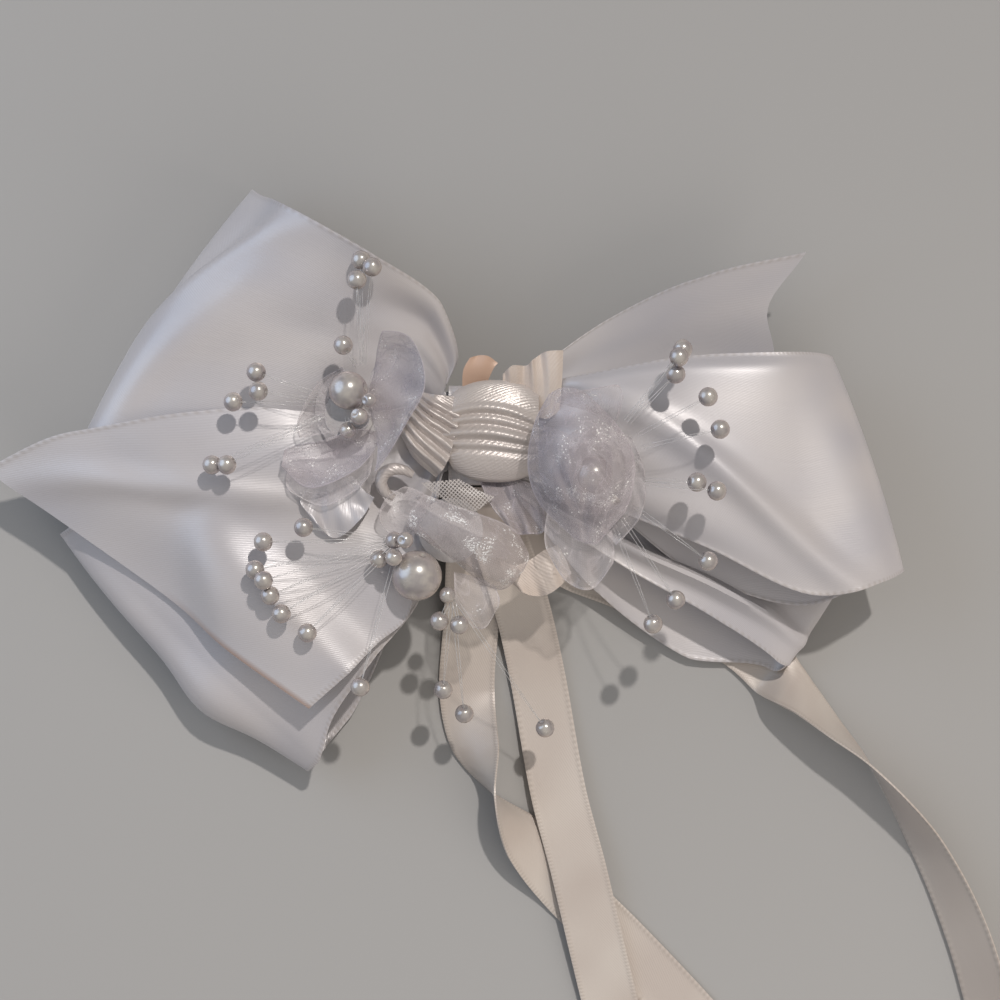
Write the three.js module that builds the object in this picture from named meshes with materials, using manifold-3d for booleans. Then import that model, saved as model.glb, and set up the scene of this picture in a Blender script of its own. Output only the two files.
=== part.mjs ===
// Bow hair clip: a satin ribbon bow with organza flowers and pearl sprays, tied to a French barrette.
// Millimetres, +Z up. The clip lies face up: the underside of its lever is the plane z = 0 and the origin is
// under the middle of the barrette. +X runs along the barrette to its hinge, +Y to the top of the bow.
import * as THREE from "three";
import { mergeVertices } from "three/addons/utils/BufferGeometryUtils.js";
import Module from "manifold-3d";

const wasm = await Module();
wasm.setup();

// Driving dimensions
const CLEARANCE = 0.35; // between pieces that are glued, tied or laid on each other
const RUNNING_GAP = 0.2; // round a pin or a rivet

const BARRETTE_LENGTH = 80;
const BARRETTE_WIDTH = 8;
const BARRETTE_DEPTH = 11; // from the lever's underside to the base plate's underside at mid-length
const BASE_BOW = 4; // rise of the base plate from its ends to its middle
const STEEL = 0.8;
const SPRING_STEEL = 0.4;
const SPRING_SAG = 2.2; // how far the tension spring hangs below its ends
const PIN_RADIUS = 0.9;
const HINGE_INSET = 3; // pin axis from the end of the base plate
const HINGE_HEIGHT = 4.5; // pin axis above the lever's underside
const TONGUE_HEIGHT = 2.6; // underside of the lever's raised tongue
const PRONG_STEEL = 0.6;
const BARB_HOLD = 0.45; // how far a barb reaches under the rail of the lever's window

const SATIN = 0.6; // one layer of satin ribbon
const ORGANZA = 0.5; // one petal
const FELT = 1;
const BOW_RIBBON = 70; // width of the bow's ribbon
const STREAMER_RIBBON = 12; // width of the streamers' ribbon
const BAND_LENGTH = 7; // along X, of the band that ties the bow to the base plate
const TIE_WIDTH = 20; // along Y, of the gathered ribbons inside the band

const SMALL_PEARL = 4; // diameters
const FILAMENT = 0.5;
const PEARL_LEFT = 8;
const PEARL_RIGHT = 8;
const PEARL_LOWER = 10.5;
const DISC_RADIUS = 6.5; // felt disc under a flower

// Heights that follow from them
const baseUnderside = (x) => BARRETTE_DEPTH - BASE_BOW * (x / (BARRETTE_LENGTH / 2)) ** 2;
const padBottom = BARRETTE_DEPTH + STEEL + CLEARANCE;
const padTop = padBottom + FELT;
const layer = SATIN + CLEARANCE;
const tieLevel = (count) => padTop + CLEARANCE + SATIN / 2 + count * layer; // middle of a layer in the tie
const bandTop = tieLevel(4) + SATIN / 2 + CLEARANCE + SATIN;
const rise = (height) => tieLevel(0) + height; // heights of the bow measured from its tie
const bandEdge = BAND_LENGTH / 2 + 1; // where the ribbons start to spread
const tieSide = TIE_WIDTH / 2;

// Materials
const material = (color, roughness, metalness) =>
  new THREE.MeshStandardMaterial({ color, roughness, metalness });
const nickel = material(0xb9bbbe, 0.3, 1);
const springSteel = material(0x9a9da2, 0.35, 1);
const felt = material(0xe9e4de, 0.95, 0);
const satin = material(0xeceaea, 0.35, 0);
const cream = material(0xf3ece4, 0.4, 0);
const peach = material(0xe9cdb8, 0.5, 0);
const streamerSatin = material(0xe8dcd3, 0.4, 0);
const organza = material(0xd9d7e2, 0.45, 0);
const pearl = material(0xe4ddd2, 0.2, 0);
const sprayPearl = material(0xdcd6cf, 0.25, 0);

const clip = new THREE.Group();
clip.name = "bow_hair_clip";

function add(name, geometry, look) {
  const mesh = new THREE.Mesh(geometry, look);
  mesh.name = name;
  clip.add(mesh);
}

// Solids: to and from the library that adds and cuts them
function solidOf(geometry) {
  const bare = new THREE.BufferGeometry().setAttribute("position", geometry.getAttribute("position"));
  if (geometry.index) bare.setIndex(geometry.index);
  const merged = mergeVertices(bare, 1e-4);
  return new wasm.Manifold(
    new wasm.Mesh({
      numProp: 3,
      vertProperties: new Float32Array(merged.attributes.position.array),
      triVerts: new Uint32Array(merged.index.array),
    }),
  );
}

function geometryOf(solid) {
  const mesh = solid.getMesh();
  const geometry = new THREE.BufferGeometry();
  geometry.setAttribute("position", new THREE.BufferAttribute(new Float32Array(mesh.vertProperties), 3));
  geometry.setIndex(new THREE.BufferAttribute(new Uint32Array(mesh.triVerts), 1));
  geometry.computeVertexNormals();
  return geometry;
}

const joined = (geometries) => wasm.Manifold.union(geometries.map(solidOf));

// What is left of a piece round its neighbours: the largest body
function clearOf(geometry, cutters) {
  const left = solidOf(geometry).subtract(wasm.Manifold.union(cutters.map(solidOf)));
  const bodies = left.decompose().sort((a, b) => b.volume() - a.volume());
  return geometryOf(bodies[0]);
}

// A side view in X and Z, made into a solid of the given width across Y
function acrossY(shape, width, steps = 8) {
  return new THREE.ExtrudeGeometry(shape, { depth: width, bevelEnabled: false, curveSegments: steps })
    .rotateX(Math.PI / 2)
    .translate(0, width / 2, 0);
}

// The side view of a strip of even thickness along a bent line
function stripShape(line, thickness) {
  const offset = (side) =>
    line.map((point, i) => {
      const before = line[Math.max(i - 1, 0)];
      const after = line[Math.min(i + 1, line.length - 1)];
      const way = after.clone().sub(before).normalize();
      return new THREE.Vector2(-way.y, way.x).multiplyScalar((side * thickness) / 2).add(point);
    });
  return new THREE.Shape([...offset(-1), ...offset(1).reverse()]);
}

const bowedLine = (halfLength, height, steps) =>
  Array.from({ length: steps + 1 }, (_, i) => {
    const x = halfLength * ((2 * i) / steps - 1);
    return new THREE.Vector2(x, height(x));
  });

const box = (x, y, z, cx, cy, cz) => new THREE.BoxGeometry(x, y, z).translate(cx, cy, cz);
const post = (radius, length, x, y, z, sides = 20) =>
  new THREE.CylinderGeometry(radius, radius, length, sides).rotateX(Math.PI / 2).translate(x, y, z);
const crossPin = (radius, length, x, z, sides = 20) =>
  new THREE.CylinderGeometry(radius, radius, length, sides).translate(x, 0, z);

// Base plate: a bowed steel strip with two ears for the hinge pin and a sewing hole near each end
const halfLength = BARRETTE_LENGTH / 2;
const hingeX = halfLength - HINGE_INSET;
const earY = BARRETTE_WIDTH / 2 - STEEL / 2;
const earRadius = PIN_RADIUS + RUNNING_GAP + 1.1;
const springRivetX = 0.7 * halfLength;
const catchX = -(halfLength - 3.75); // middle of the lever's window
const catchRivetX = catchX + 3.4;
const rivetRadius = 0.8;

const plateMiddle = (x) => baseUnderside(x) + STEEL / 2;
const plate = acrossY(stripShape(bowedLine(halfLength, plateMiddle, 20), STEEL), BARRETTE_WIDTH);
const earShape = new THREE.Shape();
earShape.moveTo(hingeX - earRadius - 0.6, plateMiddle(hingeX - earRadius));
earShape.lineTo(hingeX - earRadius, HINGE_HEIGHT);
earShape.absarc(hingeX, HINGE_HEIGHT, earRadius, Math.PI, 2 * Math.PI);
earShape.lineTo(hingeX + earRadius, plateMiddle(hingeX + earRadius));
const ear = acrossY(earShape, STEEL);
const throughPlate = (radius, x) => post(radius, 3 * STEEL, x, 0, plateMiddle(x));
add(
  "base_plate",
  geometryOf(
    joined([plate, ear.clone().translate(0, earY, 0), ear.clone().translate(0, -earY, 0)]).subtract(
      joined([
        crossPin(PIN_RADIUS + RUNNING_GAP, 2 * BARRETTE_WIDTH, hingeX, HINGE_HEIGHT),
        throughPlate(rivetRadius + RUNNING_GAP, springRivetX),
        throughPlate(rivetRadius + RUNNING_GAP, catchRivetX),
        throughPlate(1, 0.52 * halfLength),
        throughPlate(1, -0.6 * halfLength),
      ]),
    ),
  ),
  nickel,
);

// Hinge pin: riveted over at both ends, outside the ears
const pinLength = BARRETTE_WIDTH + 2 * CLEARANCE;
const pinHead = (side) =>
  crossPin(PIN_RADIUS + 0.6, 0.5, hingeX, HINGE_HEIGHT).translate(0, (side * (pinLength + 0.5)) / 2, 0);
add(
  "hinge_pin",
  geometryOf(joined([crossPin(PIN_RADIUS, pinLength + 0.5, hingeX, HINGE_HEIGHT), pinHead(1), pinHead(-1)])),
  springSteel,
);

// Lever: rolled round the pin, flat along the middle, raised into a tongue whose window takes the prongs
const leverWidth = BARRETTE_WIDTH - 2 * STEEL - 2 * CLEARANCE - 0.1;
const eyeRadius = PIN_RADIUS + RUNNING_GAP + STEEL;
const eyeBottom = HINGE_HEIGHT - eyeRadius + STEEL / 2;
const flatMiddle = STEEL / 2;
const tongueMiddle = TONGUE_HEIGHT + STEEL / 2;
const tongueEnd = -(halfLength - 0.5);
const leverLine = [
  [hingeX, eyeBottom],
  [hingeX - 2.6, eyeBottom - 0.4 * (eyeBottom - flatMiddle)],
  [hingeX - 5.4, flatMiddle + 0.12 * (eyeBottom - flatMiddle)],
  [hingeX - 7.4, flatMiddle],
  [tongueEnd + 11.6, flatMiddle],
  [tongueEnd + 9.8, flatMiddle + 0.15 * (tongueMiddle - flatMiddle)],
  [tongueEnd + 7.4, tongueMiddle - 0.15 * (tongueMiddle - flatMiddle)],
  [tongueEnd + 5.8, tongueMiddle],
  [tongueEnd, tongueMiddle],
].map(([x, z]) => new THREE.Vector2(x, z));
const eyeShape = new THREE.Shape().absarc(hingeX, HINGE_HEIGHT, eyeRadius, 0, 2 * Math.PI);
const windowWidth = leverWidth - 1.3;
const windowLength = 3.4;
const lever = joined([acrossY(stripShape(leverLine, STEEL), leverWidth), acrossY(eyeShape, leverWidth, 20)]);
add(
  "lever",
  geometryOf(
    lever.subtract(
      joined([
        crossPin(PIN_RADIUS + RUNNING_GAP, 2 * BARRETTE_WIDTH, hingeX, HINGE_HEIGHT),
        box(windowLength, windowWidth, 3 * STEEL, catchX, 0, tongueMiddle),
      ]),
    ),
  ),
  nickel,
);

// Tension spring: a thin strip that hangs below the base plate and presses the hair on the lever
const springEnd = 0.775 * halfLength;
const springTop = baseUnderside(springEnd) - CLEARANCE - SPRING_STEEL / 2;
const springMiddle = (x) => springTop - SPRING_SAG * (1 - (x / springEnd) ** 2);
const springStrip = acrossY(stripShape(bowedLine(springEnd, springMiddle, 16), SPRING_STEEL), 5);
add(
  "tension_spring",
  clearOf(springStrip, [post(rivetRadius + RUNNING_GAP, 4, springRivetX, 0, springMiddle(springRivetX))]),
  springSteel,
);

// Rivets: a shank through both pieces and a flat head on each side
function rivet(x, bottom, top) {
  const head = (z, side) => post(rivetRadius + 0.7, 0.5, x, 0, z + side * (CLEARANCE + 0.25), 16);
  const shank = post(rivetRadius, top - bottom + 2 * CLEARANCE + 0.5, x, 0, (top + bottom) / 2);
  return geometryOf(joined([shank, head(top, 1), head(bottom, -1)]));
}
const plateTop = (x) => baseUnderside(x - 1.5 * Math.sign(x)) + STEEL;
const springUnder = (x) => springMiddle(x - 1.5 * Math.sign(x)) - SPRING_STEEL / 2;
add("spring_rivet", rivet(springRivetX, springUnder(springRivetX), plateTop(springRivetX)), springSteel);

// Catch plate under the end of the base plate, with its rivet
const catchEnd = -(halfLength - 1);
const catchLength = 7.4;
const catchTop = baseUnderside(catchEnd) - CLEARANCE;
const catchBottom = catchTop - PRONG_STEEL;
add(
  "catch_plate",
  clearOf(box(catchLength, 6, PRONG_STEEL, catchEnd + catchLength / 2, 0, catchTop - PRONG_STEEL / 2), [
    post(rivetRadius + RUNNING_GAP, 4, catchRivetX, 0, catchTop),
  ]),
  springSteel,
);
add("catch_rivet", rivet(catchRivetX, catchBottom, plateTop(catchRivetX)), springSteel);

// Squeeze prongs: each hangs through the lever's window, hooks its rail with a barb and has a finger tab
const prongOuter = windowWidth / 2 - 0.35;
const prongInner = prongOuter - PRONG_STEEL;
const prongTop = catchBottom - CLEARANCE - 0.15;
const barbTop = TONGUE_HEIGHT - CLEARANCE;
const tabHeight = 4.7;
const prongShape = new THREE.Shape();
prongShape.moveTo(prongInner, prongTop);
prongShape.lineTo(prongInner, 0.6);
prongShape.lineTo(prongOuter, 0.6);
prongShape.lineTo(windowWidth / 2 + BARB_HOLD, barbTop - 0.4);
prongShape.lineTo(windowWidth / 2 + BARB_HOLD, barbTop);
prongShape.lineTo(prongOuter, barbTop);
prongShape.lineTo(prongOuter, tabHeight - PRONG_STEEL);
prongShape.lineTo(5.8, tabHeight - PRONG_STEEL);
prongShape.quadraticCurveTo(6.6, tabHeight - PRONG_STEEL, 6.8, tabHeight - 1.4);
prongShape.lineTo(7.4, tabHeight - 1.3);
prongShape.quadraticCurveTo(7, tabHeight, 5.8, tabHeight);
prongShape.lineTo(prongOuter, tabHeight);
prongShape.lineTo(prongOuter, prongTop);
const prongWidth = windowLength - 2 * CLEARANCE;
const prong = () =>
  new THREE.ExtrudeGeometry(prongShape, { depth: prongWidth, bevelEnabled: false, curveSegments: 3 })
    .rotateX(Math.PI / 2)
    .rotateZ(Math.PI / 2)
    .translate(catchX - prongWidth / 2, 0, 0);
add("prong_upper", prong(), nickel);
add("prong_lower", prong().rotateZ(Math.PI).translate(2 * catchX, 0, 0), nickel);

// Felt pad between the base plate and the tie
const padShape = new THREE.Shape().absellipse(0, 0, 0.42 * TIE_WIDTH, 0.4 * TIE_WIDTH, 0, 2 * Math.PI);
add(
  "backing_pad",
  new THREE.ExtrudeGeometry(padShape, { depth: FELT, bevelEnabled: false, curveSegments: 12 }).translate(
    0,
    0,
    padBottom,
  ),
  felt,
);

// Wrap band: a satin ring round the gathered ribbons, the pad and the base plate
const bandBottom = baseUnderside(0) - CLEARANCE - SATIN;
const bandHalf = tieSide + SATIN;
const ringPath = (path, half, bottom, top, corner) => {
  path.moveTo(-half + corner, bottom);
  path.lineTo(half - corner, bottom);
  path.absarc(half - corner, bottom + corner, corner, -Math.PI / 2, 0);
  path.lineTo(half, top - corner);
  path.absarc(half - corner, top - corner, corner, 0, Math.PI / 2);
  path.lineTo(-half + corner, top);
  path.absarc(-half + corner, top - corner, corner, Math.PI / 2, Math.PI);
  path.lineTo(-half, bottom + corner);
  path.absarc(-half + corner, bottom + corner, corner, Math.PI, 1.5 * Math.PI);
  return path;
};
const ringShape = ringPath(new THREE.Shape(), bandHalf, bandBottom, bandTop, 1.2);
ringShape.holes.push(ringPath(new THREE.Path(), tieSide, bandBottom + SATIN, bandTop - SATIN, 0.6));
add(
  "wrap_band",
  new THREE.ExtrudeGeometry(ringShape, { depth: BAND_LENGTH, bevelEnabled: false, curveSegments: 3 })
    .rotateX(Math.PI / 2)
    .rotateZ(Math.PI / 2)
    .translate(-BAND_LENGTH / 2, 0, 0),
  satin,
);

// A closed sheet of even thickness on the surface point(u, v), with u and v from 0 to 1
function sheet(point, along, across, thickness) {
  const rows = across + 1;
  const count = (along + 1) * rows;
  const upper = [];
  const lower = [];
  for (let i = 0; i <= along; i++) {
    for (let j = 0; j <= across; j++) {
      const u = i / along;
      const v = j / across;
      const step = 1e-3;
      const alongWay = point(Math.min(u + step, 1), v).sub(point(Math.max(u - step, 0), v));
      const acrossWay = point(u, Math.min(v + step, 1)).sub(point(u, Math.max(v - step, 0)));
      const normal = alongWay.cross(acrossWay).setLength(thickness / 2);
      upper.push(...point(u, v).add(normal).toArray());
      lower.push(...point(u, v).sub(normal).toArray());
    }
  }
  const faces = [];
  const quad = (a, b, c, d) => faces.push(a, b, c, a, c, d);
  for (let i = 0; i < along; i++) {
    for (let j = 0; j < across; j++) {
      const a = i * rows + j;
      quad(a, a + rows, a + rows + 1, a + 1);
      quad(count + a, count + a + 1, count + a + rows + 1, count + a + rows);
    }
  }
  for (let i = 0; i < along; i++) {
    const near = i * rows;
    const far = near + across;
    quad(near, count + near, count + near + rows, near + rows);
    quad(far, far + rows, count + far + rows, count + far);
  }
  for (let j = 0; j < across; j++) {
    const last = along * rows + j;
    quad(j, j + 1, count + j + 1, count + j);
    quad(last, count + last, count + last + 1, last + 1);
  }
  const geometry = new THREE.BufferGeometry();
  geometry.setAttribute("position", new THREE.Float32BufferAttribute([...upper, ...lower], 3));
  geometry.setIndex(faces);
  geometry.computeVertexNormals();
  return geometry;
}

// A ribbon's surface through its stations. A station is the middle of the ribbon there, the way across it, the
// share of the ribbon's width that is spread out, and how far its middle bellies out.
function ribbon(width, stations) {
  const curve = (pick) => new THREE.CatmullRomCurve3(stations.map(pick));
  const middle = curve(([at]) => new THREE.Vector3(...at));
  const reach = curve(([, across, spread]) =>
    new THREE.Vector3(...across).setLength((spread * width) / 2),
  );
  const belly = curve(([, , , out = 0]) => new THREE.Vector3(out, 0, 0));
  return (u, v) => {
    const side = 2 * v - 1;
    const half = reach.getPoint(u);
    const way = middle.getPoint(Math.min(u + 0.01, 1)).sub(middle.getPoint(Math.max(u - 0.01, 0)));
    const out = half.clone().cross(way).setLength(belly.getPoint(u).x * (1 - side * side));
    return middle.getPoint(u).add(half.multiplyScalar(side)).add(out);
  };
}

// Highest point of the surfaces within a circle
function topWithin(surfaces, x, y, radius) {
  let top = 0;
  for (const surface of surfaces) {
    for (let i = 0; i <= 160; i++) {
      for (let j = 0; j <= 40; j++) {
        const point = surface(i / 160, j / 40);
        if (Math.hypot(point.x - x, point.y - y) < radius) top = Math.max(top, point.z);
      }
    }
  }
  return top;
}

// Upper left loop: out of the tie, up to a fold at the far upper left and back underneath
const upperLeft = ribbon(BOW_RIBBON, [
  [[-1.2, 5, tieLevel(2)], [0, 1, 0], 0.12],
  [[-bandEdge, 5.1, tieLevel(2)], [0, 1, 0], 0.124],
  [[-6.6, 8.4, rise(2.4)], [10, 17.2, 0], 0.284],
  [[-12, 13, rise(3.8)], [12.6, 30.6, 6], 0.485, 0.5],
  [[-30, 16.8, rise(7.6)], [20, 41.5, 5], 0.66, 2],
  [[-53, 21.4, rise(8)], [30.5, 52.6, 4], 0.875, 2],
  [[-62, 23.2, rise(5)], [35.4, 57.4, -2], 0.975, 2.4],
  [[-64.5, 24.2, rise(-1.4)], [36, 58, -5], 0.985, 2.8],
  [[-61, 23.5, 6.2], [35, 57, 0], 0.94, 3],
  [[-47.5, 24, 4.6], [29, 44, 0], 0.75],
  [[-27, 22, 7], [22, 29, 0], 0.5],
  [[-14.5, 14.5, rise(-2)], [6, 17, 0], 0.25],
  [[-8.6, 7.6, tieLevel(0)], [1.5, 10, 0], 0.16],
  [[-bandEdge, 5.1, tieLevel(0)], [0, 1, 0], 0.124],
  [[-1.2, 5, tieLevel(0)], [0, 1, 0], 0.12],
]);
add("loop_upper_left", sheet(upperLeft, 26, 6, SATIN), satin);

// Lower left loop: under the left tail, with its opening to the lower right
const lowerLeft = ribbon(BOW_RIBBON, [
  [[-1.2, -5, tieLevel(2)], [0, 1, 0], 0.12],
  [[-bandEdge, -5.1, tieLevel(2)], [0, 1, 0], 0.124],
  [[-8.8, -9.4, rise(2.3)], [-5, 15.5, 0], 0.22],
  [[-16.5, -19, rise(2.8)], [-15, 30, 0], 0.47, 0.5],
  [[-34.8, -28.4, rise(3)], [-32.5, 41, 0], 0.7, 1],
  [[-50, -37.4, rise(0.6)], [-46, 48, 0], 0.9, 1],
  [[-57.5, -44.2, rise(-3)], [-52, 50.5, 0], 1.04, 2.5],
  [[-60.3, -46.3, 7], [-53.4, 51, 0], 1.05, 5.5],
  [[-57, -43.6, 3.4], [-52, 50, 0], 1.02, 1.5],
  [[-47, -37, 1.4], [-45, 47, 0], 0.92],
  [[-33, -30, 3], [-29, 38, 0], 0.66],
  [[-18.5, -20.5, 9], [-12, 25, 0], 0.36],
  [[-8.6, -7.8, tieLevel(0)], [-1.5, 10, 0], 0.15],
  [[-bandEdge, -5.1, tieLevel(0)], [0, 1, 0], 0.124],
  [[-1.2, -5, tieLevel(0)], [0, 1, 0], 0.12],
]);
add("loop_lower_left", sheet(lowerLeft, 26, 6, SATIN), satin);

// Left tail: one layer over both left loops, cut on the slant at its end
const leftTail = ribbon(BOW_RIBBON, [
  [[-1.2, -0.5, tieLevel(4)], [0, 1, 0], 0.2],
  [[-bandEdge, -0.5, tieLevel(4)], [0, 1, 0], 0.21],
  [[-9, -6.2, rise(4)], [-5.4, 25, 0], 0.36],
  [[-15.5, -11.6, rise(4.8)], [-13, 34, 1], 0.5],
  [[-25.5, -16, rise(7.6)], [-27, 44.5, 4.8], 0.745, 1],
  [[-41.2, -20, rise(8.8)], [-45.5, 48, 5.5], 0.945, 1],
  [[-54.5, -25.2, rise(10.6)], [-60, 50, 2.5], 1.115, 1],
  [[-67.8, -32.9, rise(2.2)], [-70.4, 48.9, -3.5], 1.224],
]);
add("tail_left", sheet(leftTail, 16, 6, SATIN), satin);

// Upper right loop: arched over the lower one, its opening to the bottom
const upperRight = ribbon(BOW_RIBBON, [
  [[1.2, 1, tieLevel(4)], [0, -1, 0], 0.19],
  [[bandEdge, 1, tieLevel(4)], [0, -1, 0], 0.2],
  [[9, 0.5, tieLevel(4) + 0.4], [0, -17, 0], 0.243],
  [[15, 0, tieLevel(4) + 0.7], [1, -20, 0], 0.29],
  [[27, -1, rise(8.5)], [2, -26, 0], 0.4, 1.5],
  [[47.5, -3.5, rise(11)], [5, -38, 4], 0.58, 4],
  [[69, -8, rise(9.5)], [8, -49, 4], 0.74, 4],
  [[81, -6.5, rise(6)], [14, -46, 1], 0.72, 2],
  [[85, -6, rise(2.3)], [15, -45, 0], 0.68, 1],
  [[81.5, -7, rise(-0.8)], [13, -46, 0], 0.68],
  [[69, -10.4, rise(-1.2)], [6, -48, 0], 0.74],
  [[47, -7.4, rise(0)], [3, -40, 0], 0.63],
  [[24, 0, rise(2.4)], [1, -22, 0], 0.32],
  [[bandEdge, 1, tieLevel(3)], [0, -1, 0], 0.2],
  [[1.2, 1, tieLevel(3)], [0, -1, 0], 0.19],
]);
add("loop_upper_right", sheet(upperRight, 28, 6, SATIN), satin);

// Right tail: one layer behind the upper right loop, its slanted end to the upper right
const rightTail = ribbon(BOW_RIBBON, [
  [[1.2, 1, tieLevel(2)], [0, -1, 0], 0.17],
  [[bandEdge, 1.5, tieLevel(2)], [0, -1, 0], 0.18],
  [[14, 3.5, rise(1.5)], [4, -17, 0], 0.25],
  [[33, 9.8, rise(-0.8)], [6, -29.5, 0], 0.43],
  [[52, 14, rise(-1)], [4, -40, -3.6], 0.575, -1],
  [[66, 13, rise(-1)], [-13.4, -52.2, -4.2], 0.79, -1.6],
]);
add("tail_right", sheet(rightTail, 14, 5, SATIN), satin);

// Lower right loop: lies low behind the upper one and opens to the bottom
const lowerRight = ribbon(BOW_RIBBON, [
  [[1.2, 1, tieLevel(1)], [0, -1, 0], 0.17],
  [[bandEdge, 0.5, tieLevel(1)], [0, -1, 0], 0.18],
  [[13.5, -5.5, rise(0.3)], [-1, -17, 0], 0.243],
  [[35, -12, rise(-2)], [-2, -28, 1], 0.46],
  [[55, -16, rise(-3.8)], [-6, -40, 1.5], 0.64],
  [[70, -20.4, 8.6], [-9, -54, 0], 0.78],
  [[78.6, -33, 6], [-30, -50, 0], 0.52, 1],
  [[72, -21.8, 2.5], [-13, -57, 0], 0.83],
  [[52, -23, 2.4], [-8, -50, 0], 0.72],
  [[32, -22, 5], [-6, -25, 0], 0.36],
  [[19, -14.5, rise(-3.2)], [-3, -14, 0], 0.2],
  [[10.4, -5.6, tieLevel(0) - 0.2], [-1.5, -12, 0], 0.17],
  [[bandEdge, -1, tieLevel(0)], [0, -1, 0], 0.17],
  [[1.2, -1, tieLevel(0)], [0, -1, 0], 0.17],
]);
add("loop_lower_right", sheet(lowerRight, 26, 6, SATIN), satin);

// Ruched puffs: gathered satin over the tie, its pleats along X
function puff(from, to, half, height) {
  const shape = new THREE.Shape();
  const pleats = 5;
  const bottom = bandTop + CLEARANCE;
  const rim = (angle) => [half * Math.cos(angle), bottom + 1 + height * Math.sin(angle)];
  shape.moveTo(half, bottom);
  shape.lineTo(...rim(0));
  for (let i = 1; i <= pleats; i++) {
    const start = (Math.PI * (i - 1)) / pleats;
    const end = (Math.PI * i) / pleats;
    const [cx, cy] = rim((start + end) / 2);
    const out = 1.22;
    shape.quadraticCurveTo(cx * out, bottom + 1 + (cy - bottom - 1) * out, ...rim(end));
  }
  shape.lineTo(-half, bottom);
  return new THREE.ExtrudeGeometry(shape, { depth: to - from, bevelEnabled: false, curveSegments: 4 })
    .rotateX(Math.PI / 2)
    .rotateZ(Math.PI / 2)
    .translate(from, 0, 0);
}
add("ruche_right", puff(-3, 13.4, 0.9 * tieSide, 6.4), cream);
add("ruche_left", puff(-14.7, -3 - CLEARANCE, 0.78 * tieSide, 5), cream);

// Streamers: narrow satin from under the lower flower, down to the table and along it
const streamerTop = -(bandHalf + CLEARANCE);
const laid = SATIN / 2 + 0.2;
const leftStreamer = ribbon(STREAMER_RIBBON, [
  [[2, streamerTop, rise(-0.8)], [1, 0, 0], 1],
  [[1.8, -24, 8], [1, 0, 0], 1],
  [[1.2, -39, 2], [1, 0, 0], 1],
  [[0.2, -55, laid + 0.7], [1, 0, 0.05], 1],
  [[2, -67, 3.8], [0.8, 0.1, 0.5], 1],
  [[6, -77, 6.4], [0.05, 0, 1], 1],
  [[13, -87, 3.9], [-0.6, -0.5, 0.5], 1],
  [[22, -98, laid + 0.4], [-0.7, -0.6, 0], 1],
  [[34, -110, laid], [-0.7, -0.68, 0], 1],
  [[50, -127, laid], [-0.7, -0.66, 0], 1],
  [[60, -139, laid], [-0.45, -0.9, 0], 1.15],
]);
add("streamer_left", sheet(leftStreamer, 30, 2, SATIN), streamerSatin);
const middleStreamer = ribbon(STREAMER_RIBBON, [
  [[3, streamerTop, rise(0.3)], [1, 0, 0], 0.8],
  [[8, -24, 9.8], [1, 0.2, 0], 1],
  [[12.4, -38, 3], [1, 0.25, 0], 1],
  [[15.5, -52, laid + 0.7], [1, 0.2, 0], 1],
  [[20, -77, laid + 1.9], [1, 0.19, 0], 1],
  [[24.2, -93, 3.3], [1, 0.2, 0], 1],
  [[28.2, -110, 2.4], [1, 0.2, 0], 1],
  [[32, -126, laid + 0.8], [1, 0.2, 0], 1],
  [[37, -148, laid], [0.9, 0.6, 0], 1.15],
]);
add("streamer_middle", sheet(middleStreamer, 24, 2, SATIN), streamerSatin);
const rightStreamer = ribbon(STREAMER_RIBBON, [
  [[11, streamerTop - 2, rise(-3.4)], [1, 0.5, 0], 0.6],
  [[16, -22, 5], [0.7, 0.7, 0], 0.9],
  [[23, -27, 1.6], [0.45, 0.86, 0], 1],
  [[33, -31, laid + 0.1], [0.35, 0.95, 0], 1],
  [[49, -38, laid + 0.1], [0.4, 0.92, 0], 1],
  [[61, -45.5, laid + 0.2], [0.55, 0.84, 0], 1],
  [[66, -50.2, laid + 0.6], [0.56, 0.8, -0.06], 1],
  [[69.6, -53.4, 4], [0.5, 0.6, -0.56], 1],
  [[72.8, -56.2, 5.4], [0.4, 0.48, -0.78], 1],
  [[79, -62.4, 6.2], [0.24, 0.28, -0.93], 1],
  [[87, -70.5, 6.5], [0.03, 0.02, -1], 1],
  [[98.5, -87, 5.8], [-0.42, -0.25, -0.87], 1],
  [[107.5, -106, 5.2], [-0.62, -0.3, -0.72], 1],
  [[114, -128, 5], [-0.7, -0.22, -0.68], 1],
  [[118, -144, 5], [-0.6, -0.5, -0.63], 1.1],
]);
add("streamer_right", sheet(rightStreamer, 30, 2, SATIN), streamerSatin);

// A petal: part of a bowl about a flower's axis. It spreads from its root to the reach of its rim.
function petal(centre, seat, { heading, root, reach, width, lift, start = 0.45 }) {
  const way = THREE.MathUtils.degToRad(heading);
  return (u, v) => {
    const outline = start + (1 - start) * Math.sin(Math.min(u * 1.75, 1) * (Math.PI / 2));
    const rounded = outline * Math.sqrt(1 - 0.8 * Math.max(0, (u - 0.5) / 0.5) ** 2.4);
    const out = root + (reach - root) * u;
    const side = (2 * v - 1) * (width / 2) * rounded;
    const height = seat + lift * ((out * out + side * side) / (reach * reach));
    return new THREE.Vector3(
      centre.x + out * Math.cos(way) - side * Math.sin(way),
      centre.y + out * Math.sin(way) + side * Math.cos(way),
      height,
    );
  };
}
const petalPitch = ORGANZA + CLEARANCE;
const ball = (diameter, x, y, z, sides = 7, rings = 5) =>
  new THREE.SphereGeometry(diameter / 2, sides, rings).rotateX(Math.PI / 2).translate(x, y, z);

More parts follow.
